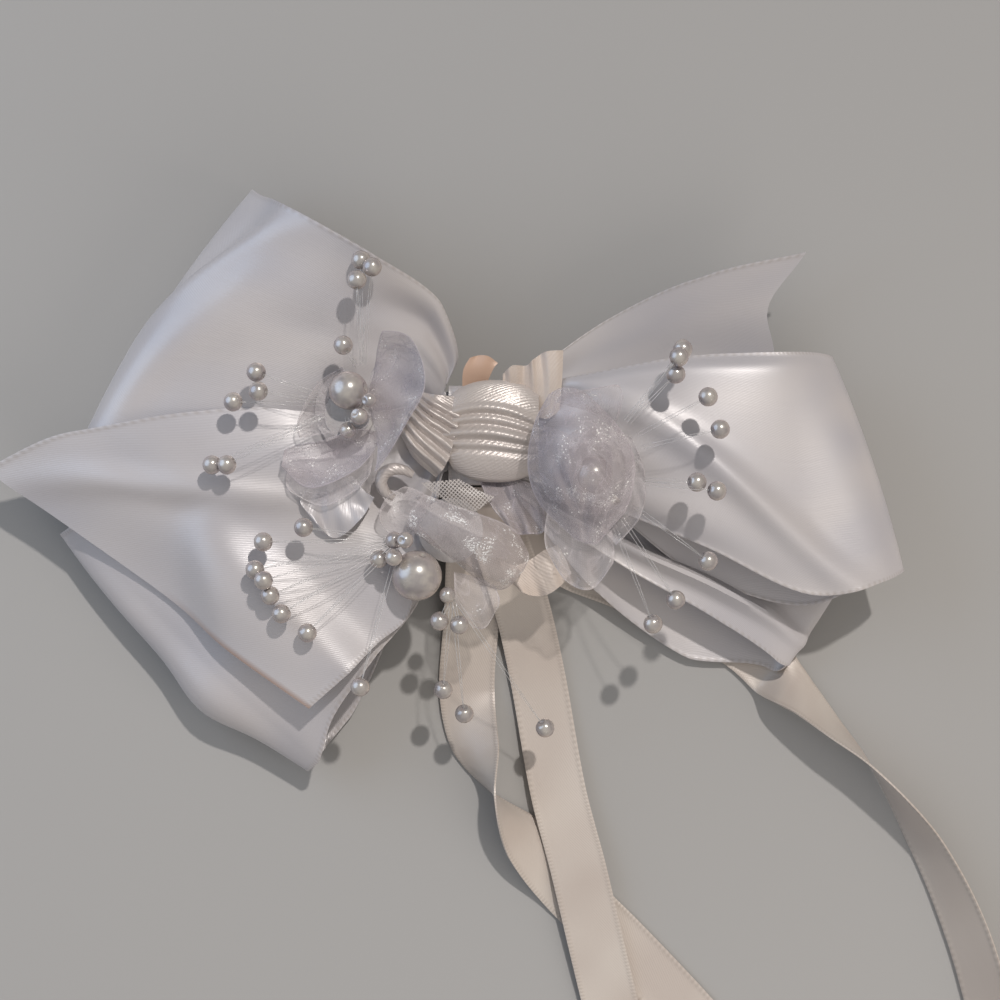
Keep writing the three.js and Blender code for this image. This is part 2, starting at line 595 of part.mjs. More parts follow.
// A felt disc on the ribbons below it, with the hub that its petals are sewn round, and the petals' height
const petalRoot = 2.6;
const hubRadius = petalRoot - CLEARANCE;
function flowerDisc(name, x, y, radius, petals, under) {
  const bottom = topWithin(under, x, y, radius) + SATIN / 2 + CLEARANCE;
  const height = FELT + petals * petalPitch;
  const hub = post(hubRadius, height, x, y, bottom + height / 2, 16);
  add(name, geometryOf(joined([post(radius, FELT, x, y, bottom + FELT / 2, 24), hub])), felt);
  return { x, y, z: bottom + FELT + CLEARANCE + ORGANZA / 2 };
}

// A spray: a binding bead and clear filaments, each to a pearl at its tip.
// A tip may end with the diameter of its own pearl.
function spray(root, tips) {
  const section = new THREE.Shape(
    [0, 1, 2].map((i) => new THREE.Vector2(FILAMENT * 0.6, 0).rotateAround(new THREE.Vector2(), i * 2.0944)),
  );
  const pieces = [ball(2.4, ...root)];
  for (const [x, y, z, diameter = SMALL_PEARL] of tips) {
    const bend = new THREE.Vector3((root[0] + x) / 2, (root[1] + y) / 2, Math.max(root[2], z) + 3);
    const end = new THREE.Vector3(x, y, z);
    const path = new THREE.QuadraticBezierCurve3(new THREE.Vector3(...root), bend, end);
    pieces.push(new THREE.ExtrudeGeometry(section, { steps: 3, bevelEnabled: false, extrudePath: path }));
    pieces.push(ball(diameter, x, y, z));
  }
  return pieces;
}

// Left flower
const left = flowerDisc("disc_left", -24, 4, DISC_RADIUS, 3, [leftTail, upperLeft]);
const leftPearl = [-24, 9, left.z + ORGANZA + CLEARANCE + PEARL_LEFT / 2];
const leftRoot = [-27.5, 2.5, left.z + 3.4];
const leftUpRoot = [-21.4, 14.2, left.z + 4.4];
const leftUpSpray = spray(leftUpRoot, [
  [-21.3, 35.8, left.z + 7],
  [-18.9, 34.2, left.z + 9],
  [-22, 31.5, left.z + 10],
  [-24.9, 18.2, left.z + 8],
]);
const leftSideSpray = spray(leftRoot, [
  [-42.9, 12.7, left.z + 7],
  [-42.3, 8.7, left.z + 9],
  [-47.7, 6.6, left.z + 6.5],
  [-52.1, -6.4, left.z + 6],
  [-48.9, -6.4, left.z + 7.5],
  [-19.6, 6.9, left.z + 8.6, 3],
  [-21.7, 3.6, left.z + 7, 3.6],
  [-24.2, 0.8, left.z + 4, 3.4],
]);
const leftInner = [ball(PEARL_LEFT + 2 * CLEARANCE, ...leftPearl, 12, 8)];
const leftCutters = [...leftInner, ball(3.2, ...leftRoot), ball(3.2, ...leftUpRoot)];
const leftPetals = {
  petal_left_back: { heading: 150, root: petalRoot, reach: 15, width: 22, lift: 2.4 },
  petal_left_lower: { heading: 255, root: petalRoot, reach: 14, width: 22, lift: 3 },
  petal_left_tall: { heading: 10, root: petalRoot, reach: 16, width: 30, lift: 14 },
};
Object.entries(leftPetals).forEach(([name, shape], i) => {
  add(name, clearOf(sheet(petal(left, left.z + i * petalPitch, shape), 6, 6, ORGANZA), leftCutters), organza);
});
add("pearl_left", ball(PEARL_LEFT, ...leftPearl, 14, 9), pearl);
add("spray_left_up", clearOf(geometryOf(joined(leftUpSpray)), leftInner), sprayPearl);
add("spray_left_side", geometryOf(joined(leftSideSpray)), sprayPearl);

// Satin leaf below the left flower, from the edge of its disc
const leafRoot = DISC_RADIUS + CLEARANCE;
const leaf = { heading: 262, root: leafRoot, reach: 26, width: 11, lift: 0.2, start: 0.6 };
add("leaf_left", sheet(petal(left, left.z - FELT / 2, leaf), 6, 4, SATIN), satin);

// Right flower: a bud whose hood closes over its pearl
const right = flowerDisc("disc_right", 25, -7, DISC_RADIUS, 4, [upperRight]);
const rightPetals = {
  petal_right_lower: { heading: 280, root: petalRoot, reach: 17, width: 20, lift: 2.4 },
  petal_right_top: { heading: 78, root: petalRoot, reach: 14, width: 15, lift: 2.6 },
  petal_right_side: { heading: 350, root: petalRoot, reach: 12.5, width: 20, lift: 3 },
  petal_right_back: { heading: 168, root: petalRoot, reach: 13, width: 24, lift: 4 },
};
const onLoop = (x, y) => [x, y, topWithin([upperRight], x, y, 1.6) + SATIN / 2 + CLEARANCE + 1.2];
const rightUpRoot = onLoop(36.5, 5);
const rightDownRoot = onLoop(37.5, -13);
const rightCutters = [ball(3.2, ...rightUpRoot), ball(3.2, ...rightDownRoot)];
Object.entries(rightPetals).forEach(([name, shape], i) => {
  const cloth = sheet(petal(right, right.z + i * petalPitch, shape), 6, 6, ORGANZA);
  add(name, clearOf(cloth, rightCutters), organza);
});
const hoodSeat = right.z + 4 * petalPitch;
const rightPearl = [26.5, -8.5, hoodSeat + CLEARANCE + PEARL_RIGHT / 2];
add("pearl_right", ball(PEARL_RIGHT, ...rightPearl, 14, 9), pearl);
const hoodTop = hoodSeat + PEARL_RIGHT + 2 * CLEARANCE + ORGANZA + 0.4;
const hood = { heading: 15, root: -10.5, reach: 10.5, width: 26, lift: -5, start: 0.5 };
const hoodCloth = sheet(petal(new THREE.Vector3(...rightPearl), hoodTop, hood), 8, 8, ORGANZA);
add("petal_right_hood", hoodCloth, organza);
const rightUpSpray = spray(rightUpRoot, [
  [44.7, 17.2, right.z + 9],
  [43.8, 15.5, right.z + 11],
  [43.3, 12.1, right.z + 8.5],
  [49.8, 7.4, right.z + 10],
  [52.3, 0.8, right.z + 9.5],
]);
const rightDownSpray = spray(rightDownRoot, [
  [47.6, -10, right.z + 9],
  [51.6, -11.8, right.z + 10],
  [50.1, -26.2, right.z + 6],
  [43.7, -34.3, right.z + 2],
  [39.1, -39.4, right.z],
]);
add("spray_right_up", geometryOf(joined(rightUpSpray)), sprayPearl);
add("spray_right_down", geometryOf(joined(rightDownSpray)), sprayPearl);

// Lower flower: a large petal rolled over the others, below the ruched centre
const lower = flowerDisc("disc_lower", -3, -20, DISC_RADIUS + 2, 2, [leftTail, middleStreamer]);
const lowerPetals = {
  petal_lower_side: { heading: 165, root: petalRoot, reach: 16.5, width: 13, lift: 2.4 },
  petal_lower_tip: { heading: 290, root: petalRoot, reach: 21, width: 10, lift: 1.5 },
};
const lowerPearlZ = topWithin([leftTail], -10, -29.4, 3) + SATIN / 2 + CLEARANCE + PEARL_LOWER / 2;
const lowerPearl = [-10, -29.4, lowerPearlZ];
const lowerCutters = [ball(PEARL_LOWER + 2 * CLEARANCE, ...lowerPearl, 16, 10)];
Object.entries(lowerPetals).forEach(([name, shape], i) => {
  const cloth = sheet(petal(lower, lower.z + i * petalPitch, shape), 6, 4, ORGANZA);
  add(name, clearOf(cloth, lowerCutters), organza);
});
add("pearl_lower", ball(PEARL_LOWER, ...lowerPearl, 16, 10), pearl);
const rolled = ribbon(14, [
  [[-10.5, -15.4, lower.z + 2.4], [0.58, 0.81, 0], 0.75],
  [[-5, -19, lower.z + 6], [0.58, 0.81, 0], 1, 1.5],
  [[3, -24.4, lower.z + 7.4], [0.58, 0.81, 0], 1, 2],
  [[10, -29.2, lower.z + 5.4], [0.58, 0.81, 0], 0.95, 1.5],
  [[13, -31.4, lower.z + 2.8], [0.58, 0.81, 0], 0.7],
]);
add("petal_lower_rolled", clearOf(sheet(rolled, 8, 4, ORGANZA), lowerCutters), organza);

add("spray_lower_side", geometryOf(joined(spray([-14, -21, lower.z + 5], [
  [-33.2, -19.3, lower.z + 10],
  [-41.6, -22.3, lower.z + 9],
  [-43.3, -28.1, lower.z + 9],
  [-41.4, -30.2, lower.z + 11],
  [-40.2, -33.4, lower.z + 9],
  [-37.9, -37.2, lower.z + 8.5],
  [-32.6, -41.2, lower.z + 7.5],
  [-21.7, -52.5, lower.z + 6],
  [-17.8, -25.9, lower.z + 6, 3.8],
  [-14.6, -25.5, lower.z + 9.4, 3.6],
  [-14.6, -22, lower.z + 8, 3.6],
  [-12.2, -21.9, lower.z + 11.2, 3.4],
]))), sprayPearl);
add("spray_lower_down", geometryOf(joined(spray([-2.6, -33.4, lower.z + 3.8], [
  [-5.3, -38.9, lower.z + 3.6],
  [-1.1, -39.7, lower.z + 4.3],
  [-4.6, -53.6, lower.z - 2],
  [-0.2, -58.8, lower.z - 4],
  [16.9, -61.9, lower.z - 5],
]))), sprayPearl);

// Satin ruffle ends round the flowers, and a square of net below the ruched centre
const ruffleAt = (x, y) => new THREE.Vector3(x, y, 0);
add(
  "ruffle_top",
  sheet(
    petal(ruffleAt(13.5, 0), bandTop + 2.6, {
      heading: 86, root: tieSide + CLEARANCE, reach: 17.6, width: 13, lift: 1, start: 0.5,
    }),
    5, 6, SATIN,
  ),
  satin,
);
add(
  "ruffle_back",
  sheet(
    petal(ruffleAt(4.2, 0), tieLevel(4) - 0.3, {
      heading: 88, root: bandHalf + CLEARANCE, reach: 17, width: 6.4, lift: 0.5, start: 0.6,
    }),
    5, 4, SATIN,
  ),
  peach,
);
add(
  "ruffle_bottom",
  sheet(
    petal(lower, lower.z - FELT, {
      heading: 330, root: DISC_RADIUS + 2 + CLEARANCE, reach: 31, width: 12, lift: -1.4, start: 0.6,
    }),
    6, 6, SATIN,
  ),
  satin,
);

add(
  "ruffle_curl",
  sheet(
    ribbon(4.4, [
      [[-18, -10, bandTop + 2.9], [0, 0.3, 1], 0.8],
      [[-15.4, -8.8, bandTop + 3], [0, 0.3, 1], 1],
      [[-12.4, -8.8, bandTop + 3], [0, 0.3, 1], 1],
      [[-10.4, -10, bandTop + 2.9], [0, 0.3, 1], 0.8],
    ]),
    8, 2, SATIN,
  ),
  satin,
);
add(
  "net_square",
  sheet(
    ribbon(5, [
      [[-9, -11.4, lower.z + 1.8], [0.2, 1, 0.1], 0.7],
      [[-2, -12, lower.z + 2.4], [0, 1, 0.2], 1, 0.4],
      [[5.4, -11.4, lower.z + 1.8], [-0.3, 1, 0.1], 0.7],
    ]),
    5, 2, ORGANZA,
  ),
  organza,
);

export default clip;
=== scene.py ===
import math

import bpy
import numpy as np
from mathutils import Matrix, Vector


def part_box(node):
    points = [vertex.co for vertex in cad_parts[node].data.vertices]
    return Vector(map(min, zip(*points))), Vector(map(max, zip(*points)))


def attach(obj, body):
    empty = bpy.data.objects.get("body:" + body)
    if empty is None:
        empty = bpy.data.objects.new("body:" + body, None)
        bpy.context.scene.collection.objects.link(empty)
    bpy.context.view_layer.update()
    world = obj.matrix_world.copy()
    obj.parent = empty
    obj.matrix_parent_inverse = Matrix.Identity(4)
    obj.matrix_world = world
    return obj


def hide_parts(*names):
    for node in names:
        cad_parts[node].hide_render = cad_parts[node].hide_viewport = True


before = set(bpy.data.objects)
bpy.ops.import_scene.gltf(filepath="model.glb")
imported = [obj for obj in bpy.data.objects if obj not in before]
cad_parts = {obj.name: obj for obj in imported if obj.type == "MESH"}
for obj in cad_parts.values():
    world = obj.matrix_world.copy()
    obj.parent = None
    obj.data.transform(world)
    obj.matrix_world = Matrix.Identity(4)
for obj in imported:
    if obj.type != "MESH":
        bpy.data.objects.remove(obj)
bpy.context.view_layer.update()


# Table, light and camera
# The clip lies face up on a pale matt table. A high key lamp stands beyond the top of the bow, so that each
# pearl drops a small shadow down to the left. A cool fill comes from the left, a warm bounce from the lower
# right, and the rest is a soft sky that is brighter overhead.
def linear(colour):
    """An sRGB hex colour as the linear colour that a shader takes."""
    parts = [int(colour[i : i + 2], 16) / 255 for i in (1, 3, 5)]
    return [c / 12.92 if c <= 0.04045 else ((c + 0.055) / 1.055) ** 2.4 for c in parts] + [1]


def feed(tree, taker, inputs):
    """Sets the inputs of a node, or links them to another node's socket or first output."""
    for name, value in inputs.items():
        if isinstance(value, bpy.types.Node):
            value = value.outputs[0]
        if isinstance(value, bpy.types.NodeSocket):
            tree.links.new(value, taker.inputs[name])
        else:
            taker.inputs[name].default_value = value


def node(tree, kind, inputs=None, stops=(), **settings):
    """Adds a node, sets its options and its colour stops, (place, colour), and feeds it."""
    made = tree.nodes.new("ShaderNode" + kind)
    for name, value in settings.items():
        setattr(made, name, value)
    for i, (place, colour) in enumerate(stops):
        made.color_ramp.elements[i].position, made.color_ramp.elements[i].color = place, linear(colour)
    feed(tree, made, inputs or {})
    return made


def material(name):
    """A new material with its node tree and its main shader."""
    made = bpy.data.materials.new(name)
    made.use_nodes = True
    return made, made.node_tree, made.node_tree.nodes["Principled BSDF"]


bpy.ops.object.select_all(action="DESELECT")
bpy.ops.mesh.primitive_plane_add(size=4, location=(0, 0, -0.0002))
table = bpy.context.object
table.name = "table"
bpy.ops.object.transform_apply(location=True, rotation=True, scale=True)
table_paint, tree, laminate = material("matt pale grey laminate")
feed(tree, laminate, {"Base Color": linear("#a09e9c"), "Roughness": 0.9, "Specular IOR Level": 0.1})
# The table shows from above only, so that the barrette can be looked at from below
side = node(tree, "NewGeometry")
unseen = node(tree, "BsdfTransparent")
shown = node(tree, "MixShader", {0: side.outputs["Backfacing"], 1: laminate, 2: unseen})
feed(tree, tree.nodes["Material Output"], {"Surface": shown})
table.data.materials.append(table_paint)

world = bpy.data.worlds.new("studio")
bpy.context.scene.world = world
world.use_nodes = True
tree = world.node_tree
sky = tree.nodes["Background"]
height = node(tree, "SeparateXYZ", {"Vector": node(tree, "TexCoord").outputs["Generated"]})
overhead = node(tree, "MapRange", {"Value": height.outputs["Z"], "To Min": 0.1, "To Max": 0.52})
feed(tree, sky, {"Color": linear("#eae6e1"), "Strength": overhead})

bpy.ops.object.light_add(type="SUN", location=(0.2, 0.45, 0.7))
key = bpy.context.object
key.name = "key"
key.data.energy = 1.85
key.data.angle = math.radians(2)
key.data.color = (1, 0.955, 0.91)
key.rotation_euler = Vector((0.24, 0.5, 0.83)).to_track_quat("Z", "Y").to_euler()

for name, place, power, colour in (
    ("fill", (-0.54, 0.2, 0.29), 2.0, (0.58, 0.75, 1)),
    ("bounce", (0.42, -0.42, 0.3), 2.0, (1, 0.95, 0.9)),
):
    bpy.ops.object.light_add(type="AREA", location=place)
    lamp = bpy.context.object
    lamp.name = name
    lamp.data.shape = "DISK"
    lamp.data.energy, lamp.data.size, lamp.data.color = power, 0.7, colour
    lamp.rotation_euler = Vector(place).to_track_quat("Z", "Y").to_euler()
    lamp.visible_glossy = name == "fill"

bpy.context.scene.view_settings.view_transform = "Standard"

bpy.ops.object.camera_add(location=(0.00735, -0.01365, 0.62), rotation=(0, 0, 0))
bpy.context.scene.camera = bpy.context.object
bpy.context.object.data.angle = 2 * math.atan(0.105 / 0.6)


# Barrette
# Pressed steel: a bowed base plate with hinge ears, a swing lever and two squeeze prongs, nickel plated. The
# bowed spring strip, pin, rivets and catch plate are bare spring steel. The bow hides it all but from below.
def plated(name, colour, dull, roughness):
    """Rolled strip, plated or bare: fine lines along the strip and faint cloudy wear."""
    metal, tree, shader = material(name)
    place = node(tree, "TexCoord").outputs["Object"]
    # Rolling lines 0.15 mm apart and about 8 mm long
    lined = node(tree, "Mapping", {"Vector": place, "Scale": (120, 6500, 6500)})
    lines = node(tree, "TexNoise", {"Vector": lined, "Scale": 1, "Detail": 2})
    wear = node(tree, "TexNoise", {"Vector": place, "Scale": 350, "Detail": 4})
    cloud = node(tree, "ValToRGB", {"Fac": wear.outputs["Fac"]}, ((0.35, dull), (0.6, colour)))
    rough = node(
        tree,
        "MapRange",
        {"Value": lines.outputs["Fac"], "To Min": roughness - 0.08, "To Max": roughness + 0.12},
    )
    bump = node(tree, "Bump", {"Height": lines.outputs["Fac"], "Strength": 0.15, "Distance": 0.00003})
    feed(tree, shader, {"Metallic": 1, "Base Color": cloud, "Roughness": rough, "Normal": bump})
    return metal


nickel = plated("nickel plated steel", "#c9c8c4", "#a9a7a2", 0.26)
spring_steel = plated("bare spring steel", "#a4a5a6", "#85868a", 0.34)
for name in ("base_plate", "lever", "prong_upper", "prong_lower"):
    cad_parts[name].material_slots[0].material = nickel
for name in ("hinge_pin", "tension_spring", "spring_rivet", "catch_plate", "catch_rivet"):
    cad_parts[name].material_slots[0].material = spring_steel


# Felt pad
# An oval of white wool felt, 1 mm thick, glued to the base plate. It keeps the knot of ribbons from slipping.
MM = 0.001
felt, tree, shader = material("white wool felt")
place = node(tree, "TexCoord").outputs["Object"]
# Matted fibres about 0.4 mm across
fibres = node(tree, "TexNoise", {"Vector": place, "Scale": 2500, "Detail": 5, "Roughness": 0.7})
tone = node(tree, "ValToRGB", {"Fac": fibres.outputs["Fac"]}, ((0, "#a8a3a1"), (1, "#bfbab8")))
bump = node(tree, "Bump", {"Height": fibres.outputs["Fac"], "Strength": 0.6, "Distance": 0.0002})
feed(tree, shader, {"Base Color": tone, "Normal": bump, "Roughness": 0.95, "Sheen Weight": 0.3})


def stand_in(piece, node_name):
    """The piece shows on the bow in place of a solid."""
    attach(piece, "bow")
    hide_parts(node_name)


def soften(piece, node_name, round_edge, segments):
    """Rounds the edges of a felt blank that stands in for a solid."""
    soft = piece.modifiers.new("soft edge", "BEVEL")
    soft.width, soft.segments = round_edge * MM, segments
    bpy.ops.object.modifier_apply(modifier=soft.name)
    bpy.ops.object.shade_smooth_by_angle(angle=math.radians(50))
    piece.data.materials.append(felt)
    stand_in(piece, node_name)


low, high = (Vector(corner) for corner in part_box("backing_pad"))
bpy.ops.object.select_all(action="DESELECT")
bpy.ops.mesh.primitive_cylinder_add(vertices=64, radius=0.5, depth=1, location=(low + high) / 2)
pad = bpy.context.object
pad.name = pad.data.name = "felt_pad"
pad.scale = high - low
bpy.ops.object.transform_apply(location=True, rotation=True, scale=True)
soften(pad, "backing_pad", 0.3, 3)


# Satin of the bow
# White polyester satin ribbon, 70 mm wide, woven with long floats along its length, so it shines in bands
# across them. Both edges have a woven selvage with a stitch every 1.1 mm. Cut ends are sealed with heat.
# Brown is painted along one half of each cut end as painted shade on its rolled, ribbed edge.
WAVE = 0.314


def satin(name, light, shade, roughness, twill=0.45, stitch=1.1, relief=0.2, crush=0.0, lustre=0.08):
    """Satin in millimetres of its own map: twill lines, slubs, stitched selvage, painted shade at cut ends."""
    cloth, tree, shader = material(name)
    flat = node(tree, "UVMap", uv_map="UVMap").outputs["UV"]
    edge = node(tree, "Attribute", attribute_name="edge_mm").outputs["Fac"]
    end = node(tree, "Attribute", attribute_name="end_mm").outputs["Fac"]
    # Wave bands are WAVE units apart at scale 1. The twill is drawn as coarse as it needs to show.
    slant = node(tree, "Mapping", {"Vector": flat, "Rotation": (0, 0, math.radians(62))})
    lines = node(tree, "TexWave", {"Vector": slant, "Scale": WAVE / twill, "Distortion": 0.6})
    long = node(tree, "Mapping", {"Vector": flat, "Scale": (0.03, 1.6, 1)})
    slubs = node(tree, "TexNoise", {"Vector": long, "Scale": 1, "Detail": 2})
    cloud = node(tree, "TexNoise", {"Vector": flat, "Scale": 0.045, "Detail": 1})
    tint = node(tree, "ValToRGB", {"Fac": cloud.outputs["Fac"]}, ((0.35, shade), (0.65, light)))
    selvage = node(
        tree, "MapRange", {"Value": edge, "From Min": 0.7, "From Max": 1.3, "To Min": 1.0, "To Max": 0.0}
    )
    stitches = node(tree, "TexWave", {"Vector": flat, "Scale": WAVE / stitch}, bands_direction="X")
    sewn = node(tree, "Math", {0: selvage, 1: stitches.outputs["Fac"]}, operation="MULTIPLY")
    dark = node(tree, "Math", {0: selvage, 1: sewn}, operation="SUBTRACT")
    seam = node(tree, "Math", {0: dark, 1: 0.3}, operation="MULTIPLY")
    hemmed = node(tree, "Mix", {0: seam, 6: tint, 7: linear("#8f8378")}, data_type="RGBA")
    # Painted shade: brown near each cut end, fading out 16 to 34 mm across the ribbon, for the rolled cut edge
    # in shade
    cut_end_shade = node(
        tree, "MapRange", {"Value": end, "From Min": 0.2, "From Max": 1.3, "To Min": 0.7, "To Max": 0.0}
    )
    across = node(tree, "SeparateXYZ", {"Vector": flat}).outputs["Y"]
    shaded_half = node(
        tree, "MapRange", {"Value": across, "From Min": 16, "From Max": 34, "To Min": 1, "To Max": 0}
    )
    painted_end_shade = node(tree, "Math", {0: cut_end_shade, 1: shaded_half}, operation="MULTIPLY")
    shaded_ends = node(tree, "Mix", {0: painted_end_shade, 6: hemmed.outputs[2], 7: linear("#8a6750")}, data_type="RGBA")
    weave = node(tree, "Math", {0: lines.outputs["Fac"], 1: slubs.outputs["Fac"]}, operation="ADD")
    crinkle = node(tree, "TexNoise", {"Vector": flat, "Scale": 0.9, "Detail": 3, "Distortion": 1.0})
    crushed = node(tree, "Math", {0: crinkle.outputs["Fac"], 1: crush, 2: weave}, operation="MULTIPLY_ADD")
    raised = node(tree, "Math", {0: sewn, 1: 1.6, 2: crushed}, operation="MULTIPLY_ADD")
    bump = node(tree, "Bump", {"Height": raised, "Strength": relief, "Distance": 0.00006})
    rough = node(
        tree,
        "MapRange",
        {"Value": slubs.outputs["Fac"], "To Min": roughness - 0.07, "To Max": roughness + 0.07},
    )
    floats = node(tree, "Tangent", direction_type="UV_MAP", uv_map="UVMap")
    feed(tree, shader, {"Base Color": shaded_ends.outputs[2], "Roughness": rough})
    feed(tree, shader, {"Normal": bump, "Tangent": floats})
    feed(tree, shader, {"Metallic": lustre, "Specular IOR Level": 1.0, "Anisotropic": 0.55})
    feed(tree, shader, {"Anisotropic Rotation": 0.25, "Sheen Weight": 0.12, "Sheen Roughness": 0.4})
    return cloth


white_satin = satin("white polyester satin", "#bcb6b5", "#b0acaf", 0.4)


def through(points, t):
    """A smooth line through the points, at t from 0 to 1, with no overshoot between uneven steps."""
    points = np.asarray(points, float)
    points = np.vstack((2 * points[0] - points[1], points, 2 * points[-1] - points[-2]))
    gap = np.linalg.norm(np.diff(points, axis=0), axis=1) ** 0.5
    gap = np.where(gap < 1e-4, np.nan, gap)
    mid = np.nan_to_num(gap[1:-1], nan=1.0)
    before = np.where(np.isnan(gap[:-2]), mid, gap[:-2])[:, None]
    after = np.where(np.isnan(gap[2:]), mid, gap[2:])[:, None]
    mid = mid[:, None]
    a, b, c, d = points[:-3], points[1:-2], points[2:-1], points[3:]
    leave = mid * ((b - a) / before - (c - a) / (before + mid) + (c - b) / mid)
    reach = mid * ((c - b) / mid - (d - b) / (mid + after) + (d - c) / after)
    spot = np.clip(t, 0, 1) * len(b)
    i = np.minimum(spot.astype(int), len(b) - 1)
    f = (spot - i)[:, None]
    b, c, leave, reach = b[i], c[i], leave[i], reach[i]
    return b + leave * f + (3 * (c - b) - 2 * leave - reach) * f**2 + (2 * (b - c) + leave + reach) * f**3


def unit(vectors):
    """Each row at a length of 1."""
    return vectors / np.maximum(np.linalg.norm(vectors, axis=1), 1e-9)[:, None]


def ribbon(width, stations, ripple=None, trim=None):
    """A ribbon's surface, in millimetres, through stations of (middle, way across, share spread, belly).

    t runs along it from 0 to 1 and s across it from -1 to 1. ripple lifts it, and trim shortens it by s.
    """
    middles = [station[0] for station in stations]
    spans = [np.array(st[1]) / np.linalg.norm(st[1]) * st[2] * width / 2 for st in stations]
    bellies = [(station[3] if len(station) > 3 else 0, 0, 0) for station in stations]

    def bare(t, s):
        half = through(spans, t)
        way = through(middles, np.minimum(t + 0.01, 1)) - through(middles, np.maximum(t - 0.01, 0))
        out = unit(np.cross(half, way)) * through(bellies, t)[:, :1]
        return through(middles, t) + half * s[:, None] + out * (1 - s * s)[:, None]

    def shape(t, s):
        if trim:
            t = t * trim(s)
        laid = bare(t, s)
        if ripple:
            across = bare(t, s + 0.02) - bare(t, s - 0.02)
            along = bare(np.minimum(t + 0.004, 1), s) - bare(np.maximum(t - 0.004, 0), s)
            laid = laid + unit(np.cross(across, along)) * ripple(t, s)[:, None]
        return laid

    return shape


def lay_cloth(name, shape, steps, cut, thickness, cloth, hem=0.0, ends=(), woven_edge=True, closed=False):
    """A flat grid of cloth, cut = (width, length) in mm, moved onto shape(t, s) and given its thickness.

    hem is how much thicker the selvage is, and ends names the cut ends, 0 or 1. Raw cloth has no woven edge.
    """
    far = 99.0
    bpy.ops.object.select_all(action="DESELECT")
    bpy.ops.mesh.primitive_grid_add(x_subdivisions=steps[0], y_subdivisions=steps[1], size=2)
    piece = bpy.context.object
    piece.name = piece.data.name = name
    mesh = piece.data
    grid = np.empty(len(mesh.vertices) * 3)
    mesh.vertices.foreach_get("co", grid)
    grid = grid.reshape(-1, 3)
    t, s = (grid[:, 0] + 1) / 2, np.sin(grid[:, 1] * math.pi / 2)
    mesh.vertices.foreach_set("co", (shape(t, s) * MM).ravel())
    corner = np.empty(len(mesh.loops), int)
    mesh.loops.foreach_get("vertex_index", corner)
    flat = np.column_stack((t * cut[1], (s + 1) / 2 * cut[0]))
    mesh.uv_layers[0].name = "UVMap"
    mesh.uv_layers[0].data.foreach_set("uv", flat[corner].ravel())
    from_edge = (1 - np.abs(s)) / 2 * cut[0] + (0 if woven_edge else far)
    from_end = np.full(len(t), far)
    for end in ends:
        from_end = np.minimum(from_end, np.abs(t - end) * cut[1])
    for label, values in (("edge_mm", from_edge), ("end_mm", from_end)):
        mesh.attributes.new(label, "FLOAT", "POINT").data.foreach_set("value", values)
    if closed:
        bpy.ops.object.mode_set(mode="EDIT")
        bpy.ops.mesh.select_all(action="SELECT")
        bpy.ops.mesh.remove_doubles(threshold=0.00002)
        bpy.ops.object.mode_set(mode="OBJECT")
    body = piece.modifiers.new("thickness", "SOLIDIFY")
    body.thickness, body.offset, body.use_even_offset = (1 + hem) * thickness * MM, 0, False
    if hem:
        group = piece.vertex_groups.new(name="selvage")
        values = np.empty(len(mesh.vertices))
        mesh.attributes["edge_mm"].data.foreach_get("value", values)
        for i, weight in enumerate((1 + hem * np.exp(-(((values - 0.45) / 0.4) ** 2))) / (1 + hem)):
            group.add([i], weight, "REPLACE")
        body.vertex_group = group.name
    bpy.ops.object.modifier_apply(modifier=body.name)
    bpy.ops.object.shade_smooth_by_angle(angle=math.radians(45))
    mesh.materials.append(cloth)
    return piece


def sew(piece, node_name):
    """The sheet, cut in millimetres, shows in place of a solid."""
    stand_in(piece, node_name)


def bump_at(x, centre, reach):
    """A soft bump of height 1 about centre."""
    return np.exp(-(((x - centre) / reach) ** 2))


BOW_RIBBON = 70
SATIN = 0.32


def bow_piece(node_name, length, steps, stations, ripple, trim=None, ends=()):
    """One length of the bow's ribbon, in place of its solid."""
    shape = ribbon(BOW_RIBBON, stations, ripple, trim)
    cut = (BOW_RIBBON, length)
    piece = lay_cloth(f"satin_{node_name}", shape, steps, cut, SATIN, white_satin, hem=0.5, ends=ends)
    sew(piece, node_name)


